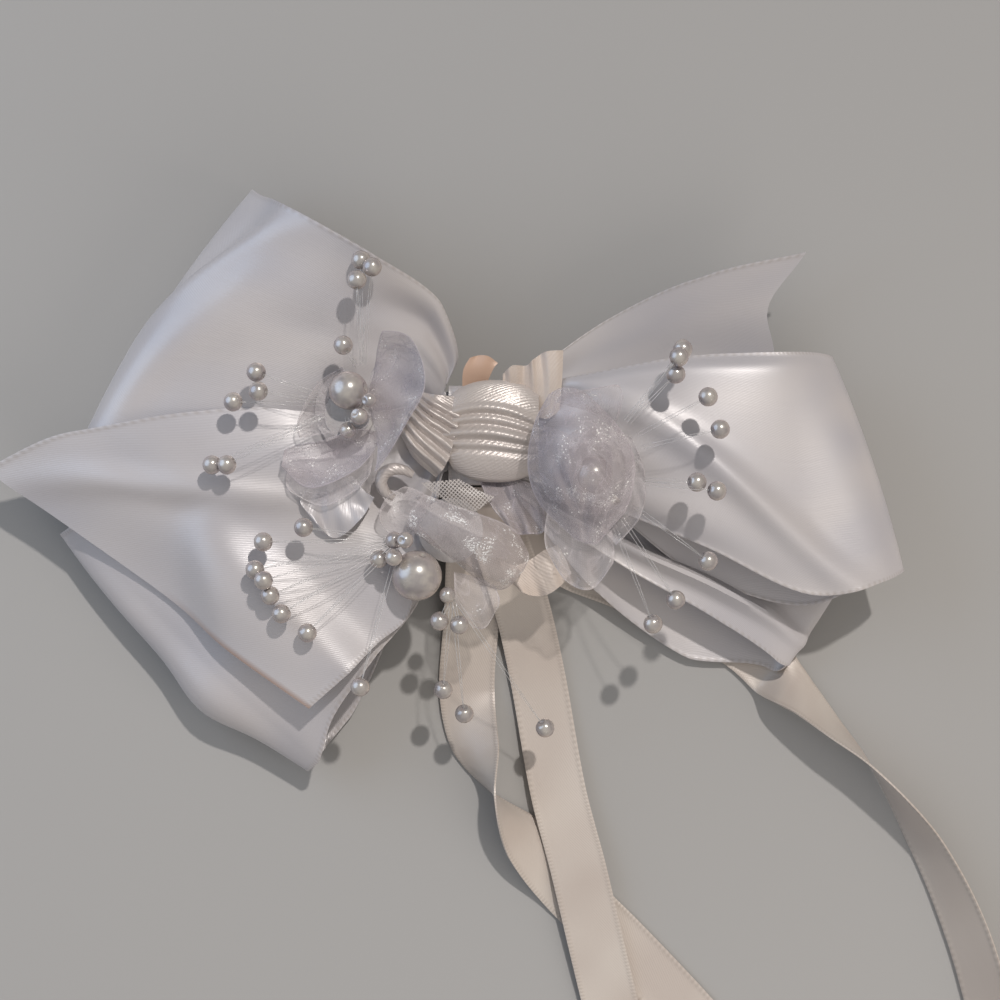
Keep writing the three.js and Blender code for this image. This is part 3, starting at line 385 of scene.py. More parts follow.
# Upper left loop
# It leaves the knot in pleats, spreads to its full width, breaks over a soft shoulder, rolls round at the far
# upper left and comes back flat underneath. Its upper selvage stands up a little by the flower.
bow_piece(
    "loop_upper_left", 150, (150, 56),
    [
        [(-1.2, 5, 15.7), (0, 1, 0), 0.12],
        [(-4.5, 5.1, 15.7), (0, 1, 0), 0.124],
        [(-6.6, 8.4, 16.2), (10, 17.2, 0), 0.284],
        [(-12, 13, 17.6), (12.6, 30.6, 6), 0.485, 0.5],
        [(-30, 16.8, 21.4), (20, 41.5, 5), 0.66, 2],
        [(-53, 21.4, 21.8), (30.5, 52.6, 4), 0.875, 2],
        [(-62, 23.2, 18.8), (35.4, 57.4, -2), 0.975, 2.4],
        [(-64.5, 24.2, 12.4), (36, 58, -5), 0.985, 2.8],
        [(-61, 23.5, 6.2), (35, 57, 0), 0.94, 3],
        [(-47.5, 24, 4.6), (29, 44, 0), 0.75],
        [(-27, 22, 7), (22, 29, 0), 0.5],
        [(-14.5, 14.5, 11.8), (6, 17, 0), 0.25],
        [(-8.6, 7.6, 13.8), (1.5, 10, 0), 0.16],
        [(-4.5, 5.1, 13.8), (0, 1, 0), 0.124],
        [(-1.2, 5, 13.8), (0, 1, 0), 0.12],
    ],
    lambda t, s: 0.5 * np.sin(15 * s + 1) * bump_at(t, 0.19, 0.06)
    - 1.8 * bump_at(s, 0.62, 0.2) * bump_at(t, 0.22, 0.07)
    + 5 * np.clip((s - 0.2) / 0.8, 0, 1) ** 1.5 * bump_at(t, 0.29, 0.08)
    - 2 * (1 + np.tanh((t - 0.345 - 0.15 * (1 - s)) / 0.022)) * bump_at(t, 0.42, 0.08)
    + 1.2 * bump_at(t, 0.325 + 0.15 * (1 - s), 0.025) * bump_at(t, 0.38, 0.07)
    + 0.7 * np.sin(5.5 * s + 30 * t + 2) * bump_at(t, 0.36, 0.07),
)

# Lower left loop
# It lies under the left tail, with its mouth to the lower right. Only its outer fold and mouth show.
bow_piece(
    "loop_lower_left", 150, (150, 56),
    [
        [(-1.2, -5, 15.7), (0, 1, 0), 0.12],
        [(-4.5, -5.1, 15.7), (0, 1, 0), 0.124],
        [(-8.8, -9.4, 16.1), (-5, 15.5, 0), 0.22],
        [(-16.5, -19, 16.6), (-15, 30, 0), 0.47, 0.5],
        [(-34.8, -28.4, 16.8), (-32.5, 41, 0), 0.7, 1],
        [(-50, -37.4, 14.4), (-46, 48, 0), 0.9, 1],
        [(-57.5, -44.2, 10.8), (-52, 50.5, 0), 1.04, 2],
        [(-60.3, -46.3, 7), (-53.4, 51, 0), 1.05, 4],
        [(-57, -43.6, 3.4), (-52, 50, 0), 1.02, 1],
        [(-47, -37, 1.4), (-45, 47, 0), 0.92],
        [(-33, -30, 3), (-29, 38, 0), 0.66],
        [(-18.5, -20.5, 9), (-12, 25, 0), 0.36],
        [(-8.6, -7.8, 13.8), (-1.5, 10, 0), 0.15],
        [(-4.5, -5.1, 13.8), (0, 1, 0), 0.124],
        [(-1.2, -5, 13.8), (0, 1, 0), 0.12],
    ],
    lambda t, s: 0.4 * np.sin(14 * s) * bump_at(t, 0.18, 0.06)
    + 3 * bump_at(s, -0.3, 0.26) * bump_at(t, 0.5, 0.09),
)

# Left tail
# One layer over both left loops, cut on the slant. A soft crease runs from the knot to its upper edge, and
# its tip droops to the left.
bow_piece(
    "tail_left", 82, (90, 56),
    [
        [(-1.2, -0.5, 17.6), (0, 1, 0), 0.2],
        [(-4.5, -0.5, 17.6), (0, 1, 0), 0.21],
        [(-9, -6.2, 17.8), (-5.4, 25, 0), 0.36],
        [(-15.5, -11.6, 18.6), (-13, 34, 1), 0.5],
        [(-25.5, -16, 21.4), (-27, 44.5, 4.8), 0.745, 1],
        [(-41.2, -20, 22.6), (-45.5, 48, 5.5), 0.945, 1],
        [(-54.5, -25.2, 24.4), (-60, 50, 2.5), 1.115, 1],
        [(-67.8, -32.9, 20), (-70.4, 48.9, -3.5), 1.224],
    ],
    lambda t, s: 0.5 * np.sin(13 * s) * bump_at(t, 0.3, 0.13)
    + 1.7 * bump_at(s, 0.33 + 1.85 * (t - 0.714), 0.13) * bump_at(t, 0.8, 0.2)
    - 1.3 * bump_at(s, 0.0, 0.3) * bump_at(t, 0.7, 0.2)
    - 2 * np.clip((s - 0.35) / 0.65, 0, 1) ** 1.5 * bump_at(t, 0.62, 0.2)
    - 2.5 * (1 + np.tanh((t - np.maximum(0.885 - 0.33 * s, 0.78)) / 0.05)),
    ends=(1,),
)

# Right tail
# One layer behind the upper right loop. Its end is cut in a hollow curve to a point at the upper right.
bow_piece(
    "tail_right", 68, (80, 48),
    [
        [(1.2, 1, 15.7), (0, -1, 0), 0.17],
        [(4.5, 1.5, 15.7), (0, -1, 0), 0.18],
        [(14, 3.5, 15.3), (4, -17, 0), 0.25],
        [(33, 9.8, 13), (6, -29.5, 0), 0.43],
        [(52, 14, 12.8), (4, -40, -3.6), 0.575, -1],
        [(66, 13, 12.8), (-13.4, -52.2, -4.2), 0.79, -1.6],
    ],
    lambda t, s: 0.5 * np.sin(12 * s) * bump_at(t, 0.3, 0.15)
    + 4.5 * np.clip((-0.1 - s) / 0.9, 0, 1) ** 1.5 * t**2,
    trim=lambda s: 1 - 0.06 * bump_at(s, -0.55, 0.35),
)

# Lower right loop
# It lies low behind the upper right one and its mouth opens to the bottom. The front layer's edge rolls up
# into a bright ridge, and the mouth behind it is dark.
bow_piece(
    "loop_lower_right", 160, (150, 56),
    [
        [(1.2, 1, 14.75), (0, -1, 0), 0.17],
        [(4.5, 0.5, 14.75), (0, -1, 0), 0.18],
        [(13.5, -5.5, 14.1), (-1, -17, 0), 0.243],
        [(35, -12, 11.8), (-2, -28, 1), 0.46],
        [(55, -16, 10), (-6, -40, 1.5), 0.64],
        [(70, -20.4, 8.6), (-9, -54, 0), 0.78],
        [(78.6, -33, 6), (-30, -50, 0), 0.52, 1],
        [(72, -21.8, 2.5), (-13, -57, 0), 0.83],
        [(52, -23, 2.4), (-8, -50, 0), 0.72],
        [(32, -22, 5), (-6, -25, 0), 0.36],
        [(19, -14.5, 10.6), (-3, -14, 0), 0.2],
        [(10.4, -5.6, 13.6), (-1.5, -12, 0), 0.17],
        [(4.5, -1, 13.8), (0, -1, 0), 0.17],
        [(1.2, -1, 13.8), (0, -1, 0), 0.17],
    ],
    lambda t, s: 0.4 * np.sin(12 * s) * bump_at(t, 0.2, 0.06)
    + (4 * bump_at(s, 0.72, 0.085) + 1.8 * bump_at(s, 0.9, 0.3)) * bump_at(t, 0.3, 0.11),
)

# Upper right loop
# The front of the right side. It arches over the lower loop, rolls away along its top, folds at the far right
# and shows its stitched lower edge. A ridge runs across it from the flower to the lower right.
bow_piece(
    "loop_upper_right", 175, (150, 56),
    [
        [(1.2, 1, 17.6), (0, -1, 0), 0.19],
        [(4.5, 1, 17.6), (0, -1, 0), 0.2],
        [(9, 0.5, 18), (0, -17, 0), 0.243],
        [(15, 0, 18.3), (1, -20, 0), 0.29],
        [(27, -1, 22.3), (2, -26, 0), 0.4, 1.5],
        [(47.5, -3.5, 24.8), (5, -38, -0.5), 0.58, 1.4],
        [(69, -8, 23.3), (8, -49, -1), 0.74, 1.2],
        [(81, -6.5, 19.8), (14, -46, 1), 0.72, 2],
        [(85, -6, 16.1), (15, -45, 0), 0.68, 1],
        [(81.5, -7, 13), (13, -46, 0), 0.68],
        [(69, -10.4, 12.6), (6, -48, 0), 0.74],
        [(47, -7.4, 13.8), (3, -40, 0), 0.63],
        [(24, 0, 16.2), (1, -22, 0), 0.32],
        [(4.5, 1, 16.65), (0, -1, 0), 0.2],
        [(1.2, 1, 16.65), (0, -1, 0), 0.19],
    ],
    lambda t, s: 0.5 * np.sin(12 * s) * bump_at(t, 0.25, 0.07)
    + 2.3 * bump_at(s, 9.4 * (t - 0.286) - 0.73, 0.18) * bump_at(t, 0.385, 0.11)
    - 1.6 * bump_at(s, 1.0, 0.16) * bump_at(t, 0.3, 0.1)
    - 3.0 * bump_at(s, -1.0, 0.09) * bump_at(t, 0.38, 0.1),
)

# Wrap band
# A short satin band sewn round the gathered ribbons, the pad and the base plate. It carries the whole bow.
BAND_RIBBON, BAND_ROUND, BAND_MIDDLE = 7, (10.35, 4.15), 14.45


def tied(t, s):
    """A flattened ring round the knot, with faint gathers across it."""
    across, up = np.cos(2 * math.pi * t), np.sin(2 * math.pi * t)
    return np.column_stack(
        (
            BAND_RIBBON / 2 * s,
            BAND_ROUND[0] * np.sign(across) * np.abs(across) ** 0.3,
            BAND_MIDDLE + BAND_ROUND[1] * np.sign(up) * np.abs(up) ** 0.3 + 0.12 * np.sin(9 * s),
        )
    )


white_band = lay_cloth("satin_wrap_band", tied, (96, 24), (BAND_RIBBON, 56), SATIN, white_satin, closed=True)
sew(white_band, "wrap_band")

# Streamers
# Three lengths of warm white satin ribbon, 12 mm wide with fine picot edges. They start at the wrap band under
# the lower flower, reach the table and lie along it with a twist. The ends are cut on the slant.
streamer_satin = satin("warm white picot satin", "#c4bab1", "#b8aca3", 0.42, stitch=0.9)
STREAMER_RIBBON, THIN_SATIN = 12, 0.3
streamers = {
    "left": (170, [
        [(2, -10.95, 13), (1, 0, 0), 1],
        [(1.8, -24, 8), (1, 0, 0), 1],
        [(1.2, -39, 2), (1, 0, 0), 1],
        [(0.2, -55, 1.2), (1, 0, 0.05), 1],
        [(2, -67, 3.8), (0.8, 0.1, 0.5), 1],
        [(6, -77, 6.4), (0.05, 0, 1), 1],
        [(13, -87, 3.9), (-0.6, -0.5, 0.5), 1],
        [(22, -98, 0.9), (-0.7, -0.6, 0), 1],
        [(34, -110, 0.5), (-0.7, -0.68, 0), 1],
        [(50, -127, 0.5), (-0.7, -0.66, 0), 1],
        [(60, -139, 0.5), (-0.45, -0.9, 0), 1.15],
    ]),
    "middle": (150, [
        [(3, -10.95, 14.1), (1, 0, 0), 0.8],
        [(8, -24, 9.8), (1, 0.2, 0), 1],
        [(12.4, -38, 3), (1, 0.25, 0), 1],
        [(15.5, -52, 1.2), (1, 0.2, 0), 1],
        [(20, -77, 2.4), (1, 0.19, 0), 1],
        [(24.2, -93, 3.3), (1, 0.2, 0), 1],
        [(28.2, -110, 2.4), (1, 0.2, 0), 1],
        [(32, -126, 1.3), (1, 0.2, 0), 1],
        [(37, -148, 0.5), (0.9, 0.6, 0), 1.15],
    ]),
    "right": (190, [
        [(11, -12.95, 10.4), (1, 0.5, 0), 0.6],
        [(16, -22, 5), (0.7, 0.7, 0), 0.9],
        [(23, -27, 1.6), (0.45, 0.86, 0), 1],
        [(33, -31, 0.6), (0.35, 0.95, 0), 1],
        [(49, -38, 0.6), (0.4, 0.92, 0), 1],
        [(61, -45.5, 0.7), (0.55, 0.84, 0), 1],
        [(66, -50.2, 1.1), (0.56, 0.8, -0.06), 1],
        [(69.6, -53.4, 4), (0.5, 0.6, -0.56), 1],
        [(72.8, -56.2, 5.4), (0.4, 0.48, -0.78), 1],
        [(79, -62.4, 6.2), (0.24, 0.28, -0.93), 1],
        [(87, -70.5, 6.5), (0.03, 0.02, -1), 1],
        [(98.5, -87, 5.8), (-0.42, -0.25, -0.87), 1],
        [(107.5, -106, 5.2), (-0.62, -0.3, -0.72), 1],
        [(114, -128, 5), (-0.7, -0.22, -0.68), 1],
        [(118, -144, 5), (-0.6, -0.5, -0.63), 1.1],
    ]),
}
for side, (length, stations) in streamers.items():
    shape, cut = ribbon(STREAMER_RIBBON, stations), (STREAMER_RIBBON, length)
    name = f"picot_streamer_{side}"
    streamer = lay_cloth(name, shape, (220, 24), cut, THIN_SATIN, streamer_satin, hem=0.7, ends=(1,))
    sew(streamer, f"streamer_{side}")

# Ruched centre
# Two cream satin puffs, gathered on threads at their ends, cover the knot. Their pleats stand up as bright
# ridges with flat shiny cloth between them. The right one overlaps the left.
cream_satin = satin(
    "cream ruched satin", "#cbc2bc", "#b5aca8", 0.38, twill=0.7, relief=0.65, crush=2, lustre=0.25
)


def patch(rows, ripple=None):
    """A sheet through rows of points, smooth both ways. t runs from row to row and s along a row."""

    def shape(t, s):
        lines = np.array([through(row, (s + 1) / 2) for row in rows])
        lines = np.concatenate((2 * lines[:1] - lines[1:2], lines, 2 * lines[-1:] - lines[-2:-1]))
        spot = np.clip(t, 0, 1) * (len(rows) - 1)
        i = np.minimum(spot.astype(int), len(rows) - 2)
        f = (spot - i)[:, None]
        a, b, c, d = (lines[i + k, np.arange(len(t))] for k in range(4))
        laid = b + 0.5 * f * (c - a + f * (2 * a - 5 * b + 4 * c - d + f * (3 * (b - c) + d - a)))
        if ripple:
            laid[:, 2] += ripple(t, s)
        return laid

    return shape


def pleat(distance, width):
    """A round pleat with a groove below it."""
    return bump_at(distance, 0, width) - 0.6 * bump_at(distance, -1.7 * width, width)


# Each pleat's place across, height and half width
right_pleats = [(0.31, 1.2, 0.06), (0.17, 1.0, 0.05), (-0.02, 1.4, 0.065), (-0.16, 0.9, 0.05)]
right_pleats += [(-0.84, 0.7, 0.1)]
left_pleats = [(-0.74, 0.7, 0.08), (-0.5, 0.9, 0.07), (-0.28, 0.8, 0.07), (-0.04, 1.0, 0.09)]
left_pleats += [(0.24, 0.8, 0.08), (0.52, 0.9, 0.1)]


def right_puff(t, s):
    """A gathered puff, swollen in the middle, whose pleats bend down to the right."""
    bent = s + 0.4 * (t - 0.35) ** 2
    raised = sum(height * pleat(bent - place, width) for place, height, width in right_pleats)
    swell = 1 - 0.35 * np.abs(2 * t - 1) ** 2.5
    angle = math.pi / 2 * s
    return np.column_stack(
        (
            -3.6 + 19 * t - 1.2 * (1 - t) * np.cos(math.pi * s),
            10.6 * np.sin(angle) * (1 - 0.25 * np.abs(2 * t - 1) ** 2.5) + 0.8,
            20 + (4.6 + raised) * np.cos(angle) ** 0.6 * swell,
        )
    )


left_puff = patch(
    [
        [(-8.9, 8.8, 20.6), (-10.8, 6.2, 22.4), (-12.3, 3, 22.6), (-13.4, 0.2, 21.6), (-12.7, -1.2, 20)],
        [(-5.9, 8.3, 23.2), (-7.2, 5, 24.2), (-8.7, 1.3, 24.2), (-10.2, -2.6, 23.4), (-10.6, -4.9, 20.6)],
        [(-0.9, 7.8, 22), (-1.2, 3.4, 23.6), (-2.2, -1.2, 23.8), (-3.9, -6.2, 23), (-6, -8.9, 20.4)],
    ],
    ripple=lambda t, s: sum(
        height * pleat(place - s + 0.4 * (t - 0.5), width) for place, height, width in left_pleats
    ),
)
for side, shape, cut in (("right", right_puff, (28, 20)), ("left", left_puff, (22, 13))):
    puff = lay_cloth(f"cream_ruche_{side}", shape, (72, 240), cut, THIN_SATIN, cream_satin, woven_edge=False)
    sew(puff, f"ruche_{side}")


# Organza petals
# Nylon organza, cut and sealed, stacked on felt discs and sewn round a hub. It is crisp and half clear, with
# paler rims. Large petals are of a closer, frosted cloth, and the rolled one and the bud of glitter organza,
# whose glitter grains are painted near white and opaque in patches as painted glint.
def organza(name, light, shade, cover, glitter):
    """Sheer cloth that covers a share of what is behind it, with a share of grains in its patches painted as
    glint.
    """
    cloth, tree, shader = material(name)
    flat = node(tree, "UVMap", uv_map="UVMap").outputs["UV"]
    edge = node(tree, "Attribute", attribute_name="edge_mm").outputs["Fac"]
    end = node(tree, "Attribute", attribute_name="end_mm").outputs["Fac"]
    # Threads 0.45 mm apart both ways, as coarse as they need to show
    spaced = {"Vector": flat, "Scale": WAVE / 0.45, "Distortion": 1.0}
    warp, weft = (node(tree, "TexWave", spaced, bands_direction=way).outputs["Fac"] for way in "XY")
    threads = node(tree, "Math", {0: warp, 1: weft}, operation="MAXIMUM")
    sheer = node(
        tree,
        "MapRange",
        {"Value": threads, "From Min": 0.5, "To Min": cover - 0.03, "To Max": cover + 0.03},
    )
    # Wispy creases where the cloth lies double: thin lines in a noise of about 8 mm
    folds = node(tree, "TexNoise", {"Vector": flat, "Scale": 0.12, "Detail": 3, "Distortion": 1.5})
    away = node(tree, "Math", {0: folds.outputs["Fac"], 1: 0.5}, operation="SUBTRACT")
    apart = node(tree, "Math", {0: away}, operation="ABSOLUTE")
    double = node(
        tree,
        "MapRange",
        {"Value": apart, "From Max": 0.05, "To Min": 0.14, "To Max": 0.0},
        interpolation_type="SMOOTHSTEP",
    )
    layers = node(tree, "Math", {0: sheer, 1: double}, operation="ADD")
    cloud = node(tree, "TexNoise", {"Vector": flat, "Scale": 0.16, "Detail": 2})
    tone = node(tree, "ValToRGB", {"Fac": cloud.outputs["Fac"]}, ((0.35, shade), (0.65, light)))
    patches = {"From Min": 0.52, "From Max": 0.6, "To Min": 1, "To Max": 1 - glitter}
    crushed = node(tree, "MapRange", {"Value": cloud.outputs["Fac"], **patches})
    # Glitter grains about 0.22 mm across, painted near white and opaque as painted glint
    grains = node(tree, "TexVoronoi", {"Vector": flat, "Scale": 1 / 0.22})
    chance = node(tree, "SeparateColor", {"Color": grains.outputs["Color"]})
    spark = node(tree, "Math", {0: chance.outputs["Red"], 1: crushed}, operation="GREATER_THAN")
    painted_glint = node(tree, "Math", {0: spark, 1: chance.outputs["Green"]}, operation="MULTIPLY")
    nearest = node(tree, "Math", {0: edge, 1: end}, operation="MINIMUM")
    rim = node(
        tree,
        "MapRange",
        {"Value": nearest, "From Min": 0.15, "From Max": 0.6, "To Min": 0.22, "To Max": 0.0},
    )
    cover_all = node(tree, "Math", {0: layers, 1: rim}, operation="ADD")
    alpha = node(tree, "Math", {0: cover_all, 1: painted_glint}, operation="MAXIMUM")
    colour = node(tree, "Mix", {0: painted_glint, 6: tone, 7: linear("#f1efec")}, data_type="RGBA")
    bump = node(tree, "Bump", {"Height": double, "Strength": 0.4, "Distance": 0.001})
    feed(tree, shader, {"Base Color": colour.outputs[2], "Alpha": alpha, "Normal": bump, "Roughness": 0.5})
    feed(tree, shader, {"Specular IOR Level": 0.35, "Sheen Weight": 0.25, "Sheen Roughness": 0.35})
    return cloth


sheer_organza = organza("sheer nylon organza", "#d6cfcf", "#c6bebf", 0.17, 0.06)
frosted_organza = organza("frosted nylon organza", "#c8c0c4", "#b6adb2", 0.26, 0.12)
glitter_organza = organza("glitter organza", "#c4bbba", "#b2a8a7", 0.28, 0.6)
ORGANZA, CORNER, CLEAR = 0.14, 0.25, 0.25


def clear_of(pearl, shape):
    """The same sheet, pressed clear of a pearl, which is given as (x, y, z, radius)."""

    def pressed(t, s):
        offset = shape(t, s) - np.array(pearl[:3])
        distance = np.maximum(np.linalg.norm(offset, axis=1), 1e-6)[:, None]
        return np.array(pearl[:3]) + offset * np.maximum(1, (pearl[3] + CLEAR) / distance)

    return pressed


def organza_petal(node_name, shape, cut, layer="", cloth=sheer_organza, steps=(48, 64), root=0.0):
    """One layer of a petal, in place of its solid. It is sewn to the disc of the flower in its name.

    The corners of its rim are cut round by CORNER of its length, and those of its root by root.
    """
    outline = lambda t, s: shape(t + (root * (1 - t) - CORNER * t) * s**4, s)
    piece = lay_cloth(f"organza_{node_name}{layer}", outline, steps, cut, ORGANZA, cloth, ends=(1,))
    sew(piece, node_name)


def waves(depth, count, start=0.0):
    """A ripple that grows from the root of a petal to its rim."""
    return lambda t, s: depth * t**2 * np.sin(count * s + start)


# Pearls
# Plastic beads with pearl lacquer: a soft silvery body colour under a clear coat. They are drilled through
# and sewn on.
nacre, tree, shader = material("pearl lacquer on plastic")
place = node(tree, "TexCoord").outputs["Object"]
# Thin and thick lacquer in clouds about 2 mm across
cloud = node(tree, "TexNoise", {"Vector": place, "Scale": 450, "Detail": 2})
tone = node(tree, "ValToRGB", {"Fac": cloud.outputs["Fac"]}, ((0.35, "#aea6a4"), (0.65, "#c6beb6")))
rough = node(tree, "MapRange", {"Value": cloud.outputs["Fac"], "To Min": 0.22, "To Max": 0.3})
feed(tree, shader, {"Base Color": tone, "Roughness": rough, "Metallic": 0.45})
feed(tree, shader, {"Coat Weight": 0.6, "Coat Roughness": 0.2, "Thin Film Thickness": 380})
DRILL = 0.9


def pearl(name, diameter, centre, axis, detail):
    """A drilled bead: a ball whose ends are drawn in round the hole along axis."""
    bpy.ops.object.select_all(action="DESELECT")
    bpy.ops.mesh.primitive_uv_sphere_add(segments=detail, ring_count=detail // 2, radius=diameter / 2 * MM)
    bead = bpy.context.object
    bead.name = bead.data.name = name
    hole = DRILL / 2 * MM
    for vertex in bead.data.vertices:
        across = math.hypot(vertex.co.x, vertex.co.y)
        if across < hole:
            vertex.co.z *= 0.72
        elif across < 2.2 * hole:
            vertex.co.z *= 0.985
    turn = Vector(axis).to_track_quat("Z", "Y").to_matrix().to_4x4()
    bead.data.transform(Matrix.Translation(Vector(centre) * MM) @ turn)
    bead.data.shade_smooth()
    bead.data.materials.append(nacre)
    return bead


def big_pearl(node_name, axis):
    """A large pearl in place of its solid. Returns its middle and radius."""
    low, high = (np.array(corner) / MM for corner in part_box(node_name))
    centre = (low + high) / 2
    bead = pearl(f"drilled_{node_name}", high[2] - low[2], centre, axis, 64)
    stand_in(bead, node_name)
    return (*centre, (high[2] - low[2]) / 2)


# Sprays
# Bunches of clear nylon filament, bound at the flower. Each doubled strand ends in a pearl of 4 mm, or less
# close to the flower.
nylon, tree, shader = material("clear nylon filament")
place = node(tree, "TexCoord").outputs["Object"]
haze = node(tree, "TexNoise", {"Vector": place, "Scale": 300, "Detail": 1})
tone = node(tree, "ValToRGB", {"Fac": haze.outputs["Fac"]}, ((0, "#a9a6a5"), (1, "#dad8d7")))
clear = node(tree, "MapRange", {"Value": haze.outputs["Fac"], "To Min": 0.2, "To Max": 0.45})
feed(tree, shader, {"Base Color": tone, "Alpha": clear})
feed(tree, shader, {"Roughness": 0.15, "IOR": 1.53, "Specular IOR Level": 0.8})
FILAMENT, SMALL_PEARL, PARTS = 0.18, 4.0, 16


def spray(node_name, base, heart, reach, tips):
    """Doubled strands from round heart, reach mm out of it, to a pearl at each tip.

    Heights are above base. A tip may end with the diameter of its own pearl.
    """
    base = np.array([0, 0, base])
    heart = base + heart
    line = bpy.data.curves.new(f"filaments_{node_name}", "CURVE")
    line.dimensions, line.bevel_depth, line.bevel_resolution = "3D", FILAMENT / 2 * MM, 2
    beads = []
    for i, tip in enumerate(tips):
        diameter = tip[3] if len(tip) > 3 else SMALL_PEARL
        tip = base + tip[:3]
        way = tip - heart
        length = np.linalg.norm(way)
        start = heart + way * min(reach / length, 0.5)
        bend = (start + tip) / 2
        bend[2] = max(start[2], tip[2]) + min(2, 0.2 * length)
        aside = np.array([-way[1], way[0], 0]) / length
        for side in (-1, 1):
            strand = line.splines.new("POLY")
            strand.points.add(PARTS)
            for k in range(PARTS + 1):
                u = k / PARTS
                spot = (1 - u) ** 2 * start + 2 * u * (1 - u) * bend + u * u * tip
                spot = spot + aside * side * (0.35 * (1 - u) + 0.5 * u * (1 - u))
                strand.points[k].co = (*(spot * MM), 1)
        beads.append(pearl(f"bead_{i}", diameter, tip, tip - bend, 28))
    strands = bpy.data.objects.new(line.name, line)
    bpy.context.collection.objects.link(strands)
    bpy.ops.object.select_all(action="DESELECT")
    strands.select_set(True)
    bpy.context.view_layer.objects.active = strands
    bpy.ops.object.convert(target="MESH")
    strands.data.materials.append(nylon)
    bpy.ops.object.select_all(action="DESELECT")
    for bead in beads:
        bead.select_set(True)
    bpy.context.view_layer.objects.active = beads[0]
    bpy.ops.object.join()
    beads[0].name = beads[0].data.name = f"pearls_{node_name}"
    for piece in (strands, beads[0]):
        stand_in(piece, node_name)


# Felt discs
# A stamped disc of the same felt under each flower, 1 mm thick. A small wound hub on it holds the petals.
DISC_FELT, HUB, SEAT = 1.0, 4.5, 1.6
for flower in ("left", "right", "lower"):
    low, high = (np.array(corner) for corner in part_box(f"disc_{flower}"))
    middle, across = (low + high) / 2, 0.8 * (high[0] - low[0])
    middle[2] = low[2] + DISC_FELT / 2 * MM
    bpy.ops.object.select_all(action="DESELECT")
    bpy.ops.mesh.primitive_cylinder_add(vertices=48, radius=across / 2, depth=DISC_FELT * MM, location=middle)
    disc = bpy.context.object
    disc.name = disc.data.name = f"felt_disc_{flower}"
    bpy.ops.object.transform_apply(location=True, rotation=True, scale=True)
    for face in disc.data.polygons:
        face.select = face.normal.z > 0.9
    bpy.ops.object.mode_set(mode="EDIT")
    bpy.ops.mesh.inset(thickness=across / 2 - HUB / 2 * MM)
    rise = high[2] - low[2] - DISC_FELT * MM
    bpy.ops.mesh.extrude_region_move(TRANSFORM_OT_translate={"value": (0, 0, rise)})
    bpy.ops.object.mode_set(mode="OBJECT")
    soften(disc, f"disc_{flower}", 0.25, 2)

# Left flower
# A back petal, cupped lower petals, a petal that stands up as a tall crescent to the right, a large pearl and
# two sprays.
left_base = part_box("disc_left")[0][2] / MM + SEAT
left_pearl = big_pearl("pearl_left", (1, 0.2, 0.4))
back = patch([
    [(-23.4, 11.3, 25.8), (-24.7, 7.6, 25.4), (-25.9, 4.2, 25.4), (-27.2, 0.5, 25.6)],
    [(-24.7, 13, 26), (-28, 9.2, 25.6), (-30.5, 5.1, 25.6), (-31.7, -0.3, 25.8)],
    [(-26.2, 14.1, 27.5), (-30.4, 10.6, 27.6), (-33.5, 5.6, 27.6), (-36.6, -1.2, 27.4)],
], waves(0.4, 5))
organza_petal("petal_left_back", clear_of(left_pearl, back), (14, 10))
veil = patch([
    [(-25.5, 14, 27), (-30, 9.5, 26.6), (-31, 3, 26.6), (-28.5, -1.5, 27)],
    [(-21, 9.5, 26.2), (-23.5, 6.8, 25.9), (-24.5, 3.6, 25.9), (-23.5, 0.4, 26.2)],
    [(-18.4, 6, 27.2), (-19.2, 4.6, 26.8), (-19.8, 2.8, 26.8), (-19.4, 1, 27.2)],
], waves(0.4, 8))
organza_petal("petal_left_back", clear_of(left_pearl, veil), (12, 10), "_veil")
cup = patch([
    [(-18.6, 2, 30.5), (-23.6, 0.6, 31), (-29.8, -1.5, 30.5), (-36.9, -1.9, 29.5)],
    [(-18.6, 0.3, 27), (-23.4, -1.6, 26), (-29.7, -3.3, 26), (-37.4, -3.5, 27.5)],
    [(-18.2, -1.8, 26.2), (-23.2, -4.9, 25.6), (-30.9, -7.4, 25.6), (-37.9, -6, 27)],
    [(-17.9, -3.7, 29), (-22.8, -7.7, 29.5), (-31.9, -11.2, 29.5), (-38.2, -8.3, 29)],
], waves(0.35, 7))
organza_petal("petal_left_lower", clear_of(left_pearl, cup), (20, 16), "_cup", frosted_organza, root=0.3)
under = patch([
    [(-18.4, -2.8, 25.6), (-23.5, -5.7, 25.2), (-30.1, -7.8, 25.2), (-36.8, -6.6, 25.6)],
    [(-19.3, -6.6, 24.9), (-23.1, -9.5, 24.9), (-29.7, -11.6, 24.9), (-37.2, -10.3, 25.4)],
    [(-20.1, -9.9, 26.2), (-23.4, -12.2, 26.4), (-29.2, -14.9, 26.4), (-35.7, -13.2, 26.4)],
], waves(0.4, 6, 1))
organza_petal("petal_left_lower", under, (16, 10), "_under")
tall = patch([
    [(-18.8, 12.5, 26.6), (-19.7, 9.6, 26.4), (-19.9, 6.7, 26.4), (-19.5, 3.8, 26.4), (-18.6, 0.9, 26.6)],
    [(-18, 17.3, 31), (-14.5, 14.8, 30.5), (-12.7, 9.1, 30), (-14.5, 2, 30), (-17.9, -2.9, 29.5)],
    [(-17, 20.3, 36), (-11.2, 18.2, 36.5), (-8.8, 10.4, 36.5), (-11.7, 2.7, 35), (-18.2, -6.9, 32)],
    [(-15.7, 22, 37.5), (-10.6, 19.1, 38.6), (-7.9, 9.9, 38.8), (-12.1, 1.5, 36.5), (-19, -10.4, 32.5)],
], waves(0.3, 6))
organza_petal("petal_left_tall", clear_of(left_pearl, tall), (24, 16), cloth=frosted_organza)
